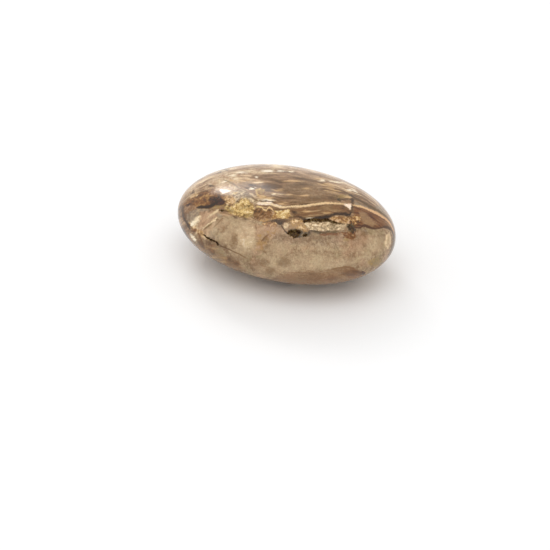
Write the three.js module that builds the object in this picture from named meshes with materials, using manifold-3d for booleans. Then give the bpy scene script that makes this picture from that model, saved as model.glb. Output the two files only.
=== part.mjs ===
// A polished palm stone of ocean jasper: one natural pebble, ground to a thick
// oval that fills the palm. Its skin is a smooth superellipsoid, a little taller
// towards +X. A flat spot under its belly lets it lie still. Small drusy vugs
// and one open fissure, which the polish laid bare, are cut into the front of it.
// Millimetres, +Z up. The origin is the centre of the base, +X is the long axis
// and -Y is the side with the vugs.

import * as THREE from "three";
import { mergeVertices } from "three/addons/utils/BufferGeometryUtils.js";
import Module from "manifold-3d";

const LENGTH = 68;
const WIDTH = 46.8;
const FULL_HEIGHT = 27.6; // of the whole oval, before the flat spot is ground
const FLAT_DEPTH = 0.4; // ground off the belly
const FLAT_BLEND = 0.15; // how far the flat spot's soft edge reaches, in height

const PLAN_POWER = 2.05; // 2 is an ellipse seen from above, and more is squarer
const PROFILE_POWER = 2.1; // the same for the section through the middle
const WIDTH_TAPER = -0.02; // share of the width gained at the +X end
const HEIGHT_TAPER = 0.042; // share of the height gained at the +X end

const SKIN_DETAIL = 17; // splits of each icosahedron edge, for the skin
const LOBE_DETAIL = 2; // the same for a lobe of a vug, whose facets read as crystals

const HALF_LENGTH = LENGTH / 2;
const HALF_WIDTH = WIDTH / 2;
const HALF_HEIGHT = FULL_HEIGHT / 2;
const GIRDLE = HALF_HEIGHT - FLAT_DEPTH; // height of the widest section

const STONE_COLOUR = 0xa78e72;

// Each vug or fissure sits at a place on the skin: x and y on the crown, or x
// and z on the front flank. turn is the angle of its length from +X, seen from
// outside. A lobe lies along and across the length; length, width and depth are
// its half sizes.
const HOLLOWS = [
  {
    // The long vug under the brown band, lined with pale druse
    crown: [17.6, -11.2],
    turn: 22,
    lobes: [
      { along: -4.9, across: 0.5, length: 2.2, width: 0.8, depth: 0.7 },
      { along: -2.4, across: 0.3, length: 2.4, width: 1.3, depth: 1.2 },
      { along: 0.4, across: 0.1, length: 2.6, width: 1.7, depth: 1.5 },
      { along: 3.0, across: 0.2, length: 2.4, width: 1.4, depth: 1.3 },
      { along: 5.4, across: 0.3, length: 1.9, width: 1.0, depth: 0.9 },
    ],
  },
  {
    // The dark pocket below the left end of the long vug
    crown: [10.9, -17.5],
    turn: 4,
    lobes: [
      { along: -1.1, across: 0.4, length: 1.3, width: 0.9, depth: 1.2 },
      { along: 0.3, across: -0.2, length: 1.4, width: 1.2, depth: 1.7 },
      { along: 1.6, across: 0.1, length: 0.9, width: 0.8, depth: 1.0 },
    ],
  },
  {
    // The dark notch at the right end of the long vug
    crown: [24.9, -7.9],
    turn: -62,
    lobes: [
      { along: -0.7, across: 0.0, length: 1.1, width: 0.7, depth: 0.9 },
      { along: 0.6, across: 0.1, length: 1.0, width: 0.8, depth: 1.1 },
    ],
  },
  {
    // The little pit where the pale seams meet, near the left end
    crown: [-13.1, -15.9],
    turn: 35,
    lobes: [{ along: 0, across: 0, length: 0.9, width: 0.6, depth: 0.8 }],
  },
  {
    // The open fissure on the left of the front flank
    flank: [-14.0, 15.3],
    turn: -6,
    lobes: [
      { along: -1.5, across: 0.05, length: 1.7, width: 0.32, depth: 0.9 },
      { along: 0.6, across: 0.0, length: 1.5, width: 0.3, depth: 1.0 },
      { along: 2.4, across: -0.05, length: 0.9, width: 0.42, depth: 1.0 },
    ],
  },
];

const wasm = await Module();
wasm.setup();

// Both tapers at a distance x along the stone, as factors of width and height.
function tapers(x) {
  return {
    wide: 1 + (WIDTH_TAPER * x) / HALF_LENGTH,
    tall: 1 + (HEIGHT_TAPER * x) / HALF_LENGTH,
  };
}

// How far out in plan a point lies: 1 on the widest outline.
function planReach(x, y) {
  const across = y / (HALF_WIDTH * tapers(x).wide);
  return (
    Math.abs(x / HALF_LENGTH) ** PLAN_POWER + Math.abs(across) ** PLAN_POWER
  );
}

// The skin's height above the base, without the flat spot, at a plan point.
function crownPoint(x, y) {
  const rise = 1 - planReach(x, y) ** (PROFILE_POWER / PLAN_POWER);
  const z = HALF_HEIGHT * rise ** (1 / PROFILE_POWER) * tapers(x).tall;
  return new THREE.Vector3(x, y, GIRDLE + z);
}

// The point of the front flank at a distance x along and a height z.
function flankPoint(x, z) {
  const { wide, tall } = tapers(x);
  const level = Math.abs((z - GIRDLE) / (HALF_HEIGHT * tall)) ** PROFILE_POWER;
  const reach = (1 - level) ** (PLAN_POWER / PROFILE_POWER);
  const across = reach - Math.abs(x / HALF_LENGTH) ** PLAN_POWER;
  const y = -HALF_WIDTH * wide * across ** (1 / PLAN_POWER);
  return new THREE.Vector3(x, y, z);
}

// The larger of two heights, with the flat spot's soft edge between them.
function softFloor(height, floor) {
  const near = Math.max(FLAT_BLEND - Math.abs(height - floor), 0);
  return Math.max(height, floor) + near ** 2 / (4 * FLAT_BLEND);
}

// Carries a point of the unit sphere to the stone's skin.
function onSkin(unit) {
  const plan =
    Math.abs(unit.x) ** PLAN_POWER + Math.abs(unit.y) ** PLAN_POWER;
  const level =
    plan ** (PROFILE_POWER / PLAN_POWER) + Math.abs(unit.z) ** PROFILE_POWER;
  const reach = level ** (-1 / PROFILE_POWER);
  const x = HALF_LENGTH * reach * unit.x;
  const { wide, tall } = tapers(x);
  const y = HALF_WIDTH * reach * unit.y * wide;
  const z = GIRDLE + HALF_HEIGHT * reach * unit.z * tall;
  return new THREE.Vector3(x, y, softFloor(z, 0));
}

// A unit ball of triangles whose shared corners are merged.
function unitBall(detail) {
  const ball = new THREE.IcosahedronGeometry(1, detail);
  ball.deleteAttribute("normal");
  ball.deleteAttribute("uv");
  return mergeVertices(ball, 1e-5);
}

// A ball with each corner carried by a rule that returns its new place.
function shapedBall(detail, carry) {
  const ball = unitBall(detail);
  const corners = ball.attributes.position;
  const corner = new THREE.Vector3();
  for (let i = 0; i < corners.count; i++) {
    corner.fromBufferAttribute(corners, i).normalize();
    const place = carry(corner);
    corners.setXYZ(i, place.x, place.y, place.z);
  }
  return ball;
}

// Outward direction of the skin at a place on it, from the level function.
function outward(place) {
  const step = 1e-3;
  const level = (p) => {
    const { wide, tall } = tapers(p.x);
    const y = p.y / (HALF_WIDTH * wide);
    const z = (p.z - GIRDLE) / (HALF_HEIGHT * tall);
    const plan =
      Math.abs(p.x / HALF_LENGTH) ** PLAN_POWER + Math.abs(y) ** PLAN_POWER;
    return plan ** (PROFILE_POWER / PLAN_POWER) + Math.abs(z) ** PROFILE_POWER;
  };
  const slope = (axis) =>
    level(place.clone().addScaledVector(axis, step)) -
    level(place.clone().addScaledVector(axis, -step));
  return new THREE.Vector3(
    slope(new THREE.Vector3(1, 0, 0)),
    slope(new THREE.Vector3(0, 1, 0)),
    slope(new THREE.Vector3(0, 0, 1)),
  ).normalize();
}

// The local frame of a hollow: X along it, Y across it and Z out of the stone.
function hollowFrame({ crown, flank, turn }) {
  const place = crown ? crownPoint(...crown) : flankPoint(...flank);
  const out = outward(place);
  const along = new THREE.Vector3(1, 0, 0)
    .addScaledVector(out, -out.x)
    .normalize()
    .applyAxisAngle(out, THREE.MathUtils.degToRad(turn));
  const across = new THREE.Vector3().crossVectors(out, along);
  return new THREE.Matrix4()
    .makeBasis(along, across, out)
    .setPosition(place);
}

// One lobe of a hollow: a lumpy, flat-faced ball half sunk in the skin.
function lobe(frame, { along, across, length, width, depth }) {
  return shapedBall(LOBE_DETAIL, (unit) => {
    const lump =
      1 +
      0.1 * Math.sin(5.3 * unit.x + 3.1 * along) * Math.cos(4.7 * unit.y) +
      0.06 * Math.sin(8.9 * unit.z + 2.3 * unit.x);
    return new THREE.Vector3(
      along + length * lump * unit.x,
      across + width * lump * unit.y,
      depth * lump * unit.z,
    ).applyMatrix4(frame);
  });
}

// A closed geometry as a solid for joining and cutting.
function solidOf(geometry) {
  return new wasm.Manifold(
    new wasm.Mesh({
      numProp: 3,
      vertProperties: new Float32Array(geometry.attributes.position.array),
      triVerts: new Uint32Array(geometry.index.array),
    }),
  );
}

// A solid as geometry again.
function geometryOf(solid) {
  const { vertProperties, triVerts } = solid.getMesh();
  const geometry = new THREE.BufferGeometry();
  geometry.setAttribute("position", new THREE.BufferAttribute(vertProperties, 3));
  geometry.setIndex(new THREE.BufferAttribute(triVerts, 1));
  geometry.computeVertexNormals();
  return geometry;
}

// The whole stone: its skin with every hollow cut out of it.
function palmStone() {
  let stone = solidOf(shapedBall(SKIN_DETAIL, onSkin));
  for (const hollow of HOLLOWS) {
    const frame = hollowFrame(hollow);
    for (const size of hollow.lobes) {
      stone = stone.subtract(solidOf(lobe(frame, size)));
    }
  }
  const finish = new THREE.MeshStandardMaterial({
    color: STONE_COLOUR,
    roughness: 0.22,
    metalness: 0,
  });
  const mesh = new THREE.Mesh(geometryOf(stone), finish);
  mesh.name = "palm_stone";
  return mesh;
}

const stone = new THREE.Group();
stone.name = "ocean_jasper_palm_stone";
stone.add(palmStone());

export default stone;
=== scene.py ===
"""The looks of a polished ocean jasper palm stone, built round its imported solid.

The stone is one pebble: a smooth oval whose skin cuts through banded brown
jasper above and mottled taupe chalcedony below. Its markings are laid out on
the face chart, which is the stone as it looks from the viewpoint: u runs right
and v runs up, in millimetres from the stone's centre, and w comes nearer. The
markings behind are laid out in the same way on the chart of the back.
"""

import logging
import math
from dataclasses import dataclass, field, replace
from enum import Enum

import bmesh
import bpy
import numpy as np
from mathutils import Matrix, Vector, noise


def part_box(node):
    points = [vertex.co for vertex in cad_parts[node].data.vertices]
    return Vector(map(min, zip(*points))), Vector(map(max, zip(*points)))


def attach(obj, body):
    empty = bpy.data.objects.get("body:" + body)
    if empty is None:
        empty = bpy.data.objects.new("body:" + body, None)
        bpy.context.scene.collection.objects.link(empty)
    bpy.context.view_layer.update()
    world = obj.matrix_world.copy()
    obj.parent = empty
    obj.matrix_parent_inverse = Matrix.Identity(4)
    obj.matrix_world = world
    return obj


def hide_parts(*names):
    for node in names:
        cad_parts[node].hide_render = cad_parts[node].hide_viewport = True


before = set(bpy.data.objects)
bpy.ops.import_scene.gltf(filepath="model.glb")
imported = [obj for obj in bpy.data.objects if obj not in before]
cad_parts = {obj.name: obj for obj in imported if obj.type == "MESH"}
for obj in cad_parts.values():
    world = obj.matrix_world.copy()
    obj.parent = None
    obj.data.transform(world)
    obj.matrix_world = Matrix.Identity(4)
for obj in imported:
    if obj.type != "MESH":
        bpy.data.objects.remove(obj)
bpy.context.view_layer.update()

LOG = logging.getLogger("palm_stone")
MM = 0.001
SEED = 20
NODE = "palm_stone"
SLOT = "polished_jasper"
FAR_OUT = 30.0  # millimetres off an edge, from where its distance stops counting

Array = np.ndarray
Points = tuple[tuple[float, float], ...]
Span = tuple[float, float]
Scale = tuple[float, float, float]
Colour = tuple[float, float, float, float]
Shares = tuple[float, ...]
Socket = bpy.types.NodeSocket


class Tone(Enum):
    """The stone's colours in daylight, as red, green and blue from 0 to 255."""

    TAUPE = (172, 149, 121)
    TAUPE_PALE = (196, 175, 146)
    TAUPE_DEEP = (146, 122, 95)
    BLUSH = (190, 158, 132)
    SAGE = (166, 150, 117)
    CLOUD = (212, 193, 165)
    PEARL = (204, 182, 154)
    SMOKE = (152, 133, 112)
    ASH = (166, 152, 136)
    BARK = (106, 79, 48)
    BARK_DARK = (68, 48, 26)
    COCOA = (141, 112, 77)
    MAUVE = (158, 129, 101)
    FAWN = (178, 149, 114)
    SHELL = (208, 178, 150)
    IVORY = (240, 220, 186)
    MILK = (255, 247, 232)
    PETAL = (246, 218, 202)
    CREAM = (228, 198, 158)
    PEACH = (222, 180, 138)
    HONEY = (196, 160, 106)
    STRAW = (226, 202, 146)
    MOSS = (172, 144, 88)
    OLIVE = (118, 98, 52)
    OCHRE = (150, 112, 66)
    RUST = (140, 96, 52)
    RUSSET = (145, 108, 72)
    MAROON = (98, 62, 42)
    PLUM = (76, 52, 40)
    GREIGE = (160, 142, 112)
    FOREST = (82, 74, 52)

    def linear(self) -> Colour:
        """Turns the tone into linear light.

        Returns:
            Red, green and blue from 0 to 1, and an alpha of 1.
        """
        parts = [channel / 255 for channel in self.value]
        red, green, blue = (c / 12.92 if c <= 0.04045 else ((c + 0.055) / 1.055) ** 2.4 for c in parts)
        return red, green, blue, 1.0


Stops = tuple[tuple[float, Tone], ...]


class Grain(Enum):
    """What breaks up the colour inside a marking."""

    STREAKS = "Streaks"
    MOTTLE = "Mottle"
    CRUMBS = "Crumbs"


def placed(name: str, data: bpy.types.ID) -> bpy.types.Object:
    """Puts a mesh, a light or a camera into the scene.

    Args:
        name: What it is called there.
        data: Its data.

    Returns:
        The object.
    """
    made = bpy.data.objects.new(name, data)
    bpy.context.scene.collection.objects.link(made)
    return made


def smooth(values: Array) -> Array:
    """Returns values eased from 0 to 1, held at both ends."""
    t = np.clip(values, 0, 1)
    return t * t * (3 - 2 * t)


def through(path: Points, at: Array) -> Array:
    """Reads a smooth line through given points.

    Args:
        path: Points in order of their first number.
        at: Where to read the line.

    Returns:
        The second number at each place, level beyond both ends.
    """
    xs, ys = np.array(path, float).T
    slopes = np.gradient(ys, xs)
    at = np.clip(at, xs[0], xs[-1])
    i = np.clip(np.searchsorted(xs, at) - 1, 0, len(xs) - 2)
    gap = xs[i + 1] - xs[i]
    t = (at - xs[i]) / gap
    lean = gap * (t * (1 - t) ** 2 * slopes[i] - t * t * (1 - t) * slopes[i + 1])
    return ys[i] + (ys[i + 1] - ys[i]) * smooth(t) + lean


def inside(outline: Points, u: Array, v: Array) -> Array:
    """Measures how deep places lie in a closed outline.

    Args:
        outline: The corners in order, in millimetres on a chart.
        u: Places along the chart.
        v: Places up the chart.

    Returns:
        The distance to the outline in millimetres, above 0 inside it.
    """
    corners = np.array(outline, float)
    nearest = np.full(len(u), np.inf)
    within = np.zeros(len(u), bool)
    for (au, av), (bu, bv) in zip(corners, np.roll(corners, -1, axis=0)):
        du, dv = bu - au, bv - av
        t = np.clip(((u - au) * du + (v - av) * dv) / (du * du + dv * dv), 0, 1)
        nearest = np.minimum(nearest, np.hypot(u - au - t * du, v - av - t * dv))
        crosses = (av > v) != (bv > v)
        level = np.where(crosses, (v - av) * du / (dv if dv else 1) + au, np.inf)
        within ^= crosses & (u < level)
    return np.where(within, nearest, -nearest)


def direction(azimuth_deg: float, elevation_deg: float) -> Vector:
    """Works out the direction in which something stands, as seen from the stone.

    Args:
        azimuth_deg: Its turn round the stone; 0 is on the side of -Y.
        elevation_deg: Its height above the horizon.

    Returns:
        A unit vector.
    """
    turn, rise = math.radians(azimuth_deg), math.radians(elevation_deg)
    return Vector((
        math.sin(turn) * math.cos(rise), -math.cos(turn) * math.cos(rise), math.sin(rise),
    ))


@dataclass(frozen=True)
class Viewpoint:
    """Where the camera stands, and the face chart that it sees.

    Attributes:
        azimuth_deg: Turn round the stone; 0 looks along +Y.
        elevation_deg: Height above the horizon.
        distance: From the stone's centre, in metres.
        lens: Focal length in millimetres.
        sensor: Sensor width in millimetres.
        image_px: Side of the square picture.
        centre_px: Pixel at which the stone's centre stands.
        clip: Nearest and farthest that it sees, in metres.
    """

    azimuth_deg: float = 26.0
    elevation_deg: float = 30.0
    distance: float = 0.545
    lens: float = 120.0
    sensor: float = 36.0
    image_px: int = 550
    centre_px: Span = (285.5, 222.2)
    clip: Span = (0.01, 20.0)

    def axes(self) -> tuple[Vector, Vector, Vector]:
        """Works out the directions of the view.

        Returns:
            The directions right, up and back.
        """
        back = direction(self.azimuth_deg, self.elevation_deg)
        turn = math.radians(self.azimuth_deg)
        right = Vector((math.cos(turn), math.sin(turn), 0))
        return right, back.cross(right), back

    def chart(self, points: Array, centre: Array) -> Array:
        """Lays points out on the face chart.

        Args:
            points: Rows of x, y and z in millimetres.
            centre: The stone's centre in millimetres.

        Returns:
            Rows of u, v and w in millimetres.
        """
        turned = (points - centre) @ np.array([list(axis) for axis in self.axes()]).T
        reach = self.distance / MM
        turned[:, :2] *= (reach / (reach - turned[:, 2]))[:, None]
        return turned

    def place_camera(self, centre: Vector) -> bpy.types.Object:
        """Makes the scene's camera, level, with the stone's centre at its pixel.

        Args:
            centre: The stone's centre in metres.

        Returns:
            The camera.
        """
        right, up, back = self.axes()
        per_px = self.distance * self.sensor / self.lens / self.image_px
        half = self.image_px / 2
        aim = centre - right * (self.centre_px[0] - half) * per_px
        aim += up * (self.centre_px[1] - half) * per_px
        data = bpy.data.cameras.new("camera")
        data.lens, data.sensor_width = self.lens, self.sensor
        data.clip_start, data.clip_end = self.clip
        camera = placed("camera", data)
        camera.location = centre + back * self.distance
        camera.rotation_euler = (aim - camera.location).to_track_quat("-Z", "Y").to_euler()
        bpy.context.scene.camera = camera
        return camera


@dataclass(frozen=True)
class Lens:
    """An oval fleck of one colour on a chart, in millimetres and degrees."""

    u: float
    v: float
    length: float
    height: float
    turn: float = 0.0

    def depth_in(self, u: Array, v: Array) -> Array:
        """Measures about how deep places lie in the oval.

        Args:
            u: Places along the chart.
            v: Places up the chart.

        Returns:
            The distance to its edge in millimetres, above 0 inside it.
        """
        turn = math.radians(self.turn)
        along = (u - self.u) * math.cos(turn) + (v - self.v) * math.sin(turn)
        across = (v - self.v) * math.cos(turn) - (u - self.u) * math.sin(turn)
        ring = np.hypot(along / self.length, across / self.height)
        return (1 - ring) * min(self.length, self.height)


Shapes = tuple[Lens | Points, ...]


def deepest(shapes: Shapes, chart: Array) -> Array:
    """Measures how deep places lie in the nearest of several shapes.

    Args:
        shapes: Ovals and outlines.
        chart: Rows of u, v and w.

    Returns:
        The distance to its edge in millimetres, above 0 inside it.
    """
    u, v = chart[:, 0], chart[:, 1]
    depths = [np.full(len(u), -FAR_OUT)]
    for shape in shapes:
        depths.append(shape.depth_in(u, v) if isinstance(shape, Lens) else inside(shape, u, v))
    return np.max(depths, axis=0)


@dataclass(frozen=True)
class Marking:
    """A colour that fills one or more shapes on the stone, in millimetres.

    Attributes:
        name: What a collector would call it.
        tones: Its colours, from the palest to the darkest.
        shapes: What it fills on the face.
        grain: What mixes its colours.
        soft: Width of its edge.
        ragged: How far its edge wanders.
        cover: How much it hides what is under it, from 0 to 1.
        back: What it fills on the back.
    """

    name: str
    tones: tuple[Tone, ...]
    shapes: Shapes
    grain: Grain = Grain.MOTTLE
    soft: float = 0.5
    ragged: float = 0.5
    cover: float = 1.0
    back: Shapes = ()

    def depth_in(self, face: Array, behind: Array, facing: Array) -> Array:
        """Returns how deep places lie in it, by the chart of the side that they are on."""
        return np.where(facing > 0, deepest(self.shapes, face), deepest(self.back, behind))


@dataclass(frozen=True)
class Seam:
    """A thin vein: a line on the chart and its half width along it, in millimetres.

    Attributes:
        name: What a collector would call it.
        tones: Its colours at its two ends.
        path: Points of its middle, in order of their first number.
        widths: Half widths, at places along it.
        turn: Angle in degrees by which its own axes are turned on the chart.
        origin: Where its own axes cross on the chart.
        soft: Width of its edge.
        cover: How much it hides what is under it.
        sway: How far it wanders off its line.
        sheet: Whether it goes right through the stone and shows on the back too.
        room: What is left clear under and over its line when the line is scaled to a curve.
    """

    name: str
    tones: tuple[Tone, Tone]
    path: Points
    widths: Points
    turn: float = 0.0
    origin: Span = (0.0, 0.0)
    soft: float = 0.22
    cover: float = 1.0
    sway: float = 0.7
    sheet: bool = False
    room: float = 0.2

    def axes(self) -> tuple[Span, Span]:
        """Returns what its own u and v take of the chart's u and v."""
        turn = math.radians(self.turn)
        return (math.cos(turn), math.sin(turn)), (-math.sin(turn), math.cos(turn))


BACK_REACH: Span = (31.0, 14.0)  # half sizes of the back that markings are strewn over
BACK_SHARE = 0.85  # of its area, so that the rim stays clear
SIZE_SPREAD: Span = (0.8, 1.25)
STREWN_TURN = 9.0  # degrees


def strewn(count: int, size: Span, flat: float, draw: int) -> tuple[Lens, ...]:
    """Strews ovals over the back of the stone, clear of its rim.

    Args:
        count: How many.
        size: Least and greatest half length, in millimetres.
        flat: Half height as a share of the half length.
        draw: Which row of random numbers they take.

    Returns:
        The ovals, on the chart of the back.
    """
    rng = np.random.default_rng(SEED + draw)
    ovals = []
    for _ in range(count):
        turn, reach = rng.uniform(0, 2 * math.pi), math.sqrt(rng.uniform(0, BACK_SHARE))
        half = size[0] + (size[1] - size[0]) * rng.uniform() ** 2
        u, v = BACK_REACH[0] * reach * math.cos(turn), BACK_REACH[1] * reach * math.sin(turn)
        height = half * flat * rng.uniform(*SIZE_SPREAD)
        ovals.append(Lens(u, v, half, height, rng.uniform(-STREWN_TURN, STREWN_TURN)))
    return tuple(ovals)


def grown(ovals: tuple[Lens, ...], share: float) -> tuple[Lens, ...]:
    """Returns the same ovals with their sizes multiplied."""
    return tuple(replace(each, length=each.length * share, height=each.height * share) for each in ovals)


ORBS = strewn(14, (0.6, 2.2), flat=0.8, draw=1)

HORIZON: Points = (
    (-33, 3), (-30, 6.2), (-25, 8.8), (-21, 10.2), (-18, 10), (-15, 9), (-12, 7.8),
    (-8.5, 6), (-4, 5.3), (-1, 4.6), (2, 4.7), (8, 5.2), (13, 5.7), (18, 5.4), (22, 4.9),
    (25, 3.8), (28, 2.3), (30, 0.8), (33, -3),
)
CROWN: Points = (
    (-33, 3.5), (-30, 9), (-27, 11.6), (-22, 14.4), (-16, 16.2), (-8, 17.2), (0, 17.2),
    (6, 16.2), (12, 14.7), (18, 12.2), (24, 8.6), (28, 5), (31, 1.2), (33, -2.5),
)
FOOTWALL: Points = (
    (-34, -5), (-28, -3.8), (-25, -3), (-22, 0.2), (-19, 1.6), (-15, 1.5), (-12, 0.9),
    (-9, 0.5), (-6, -0.2), (-2, -0.5), (1, -1.6), (6, -2.2), (12, -2.4), (18, -1.6),
    (22, -1.4), (27, -1.7), (30, -1.4), (32, -3), (34, -6),
)
BAND_HEIGHT = 12.0  # from the horizon to the crown, as the bedding counts it

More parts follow.
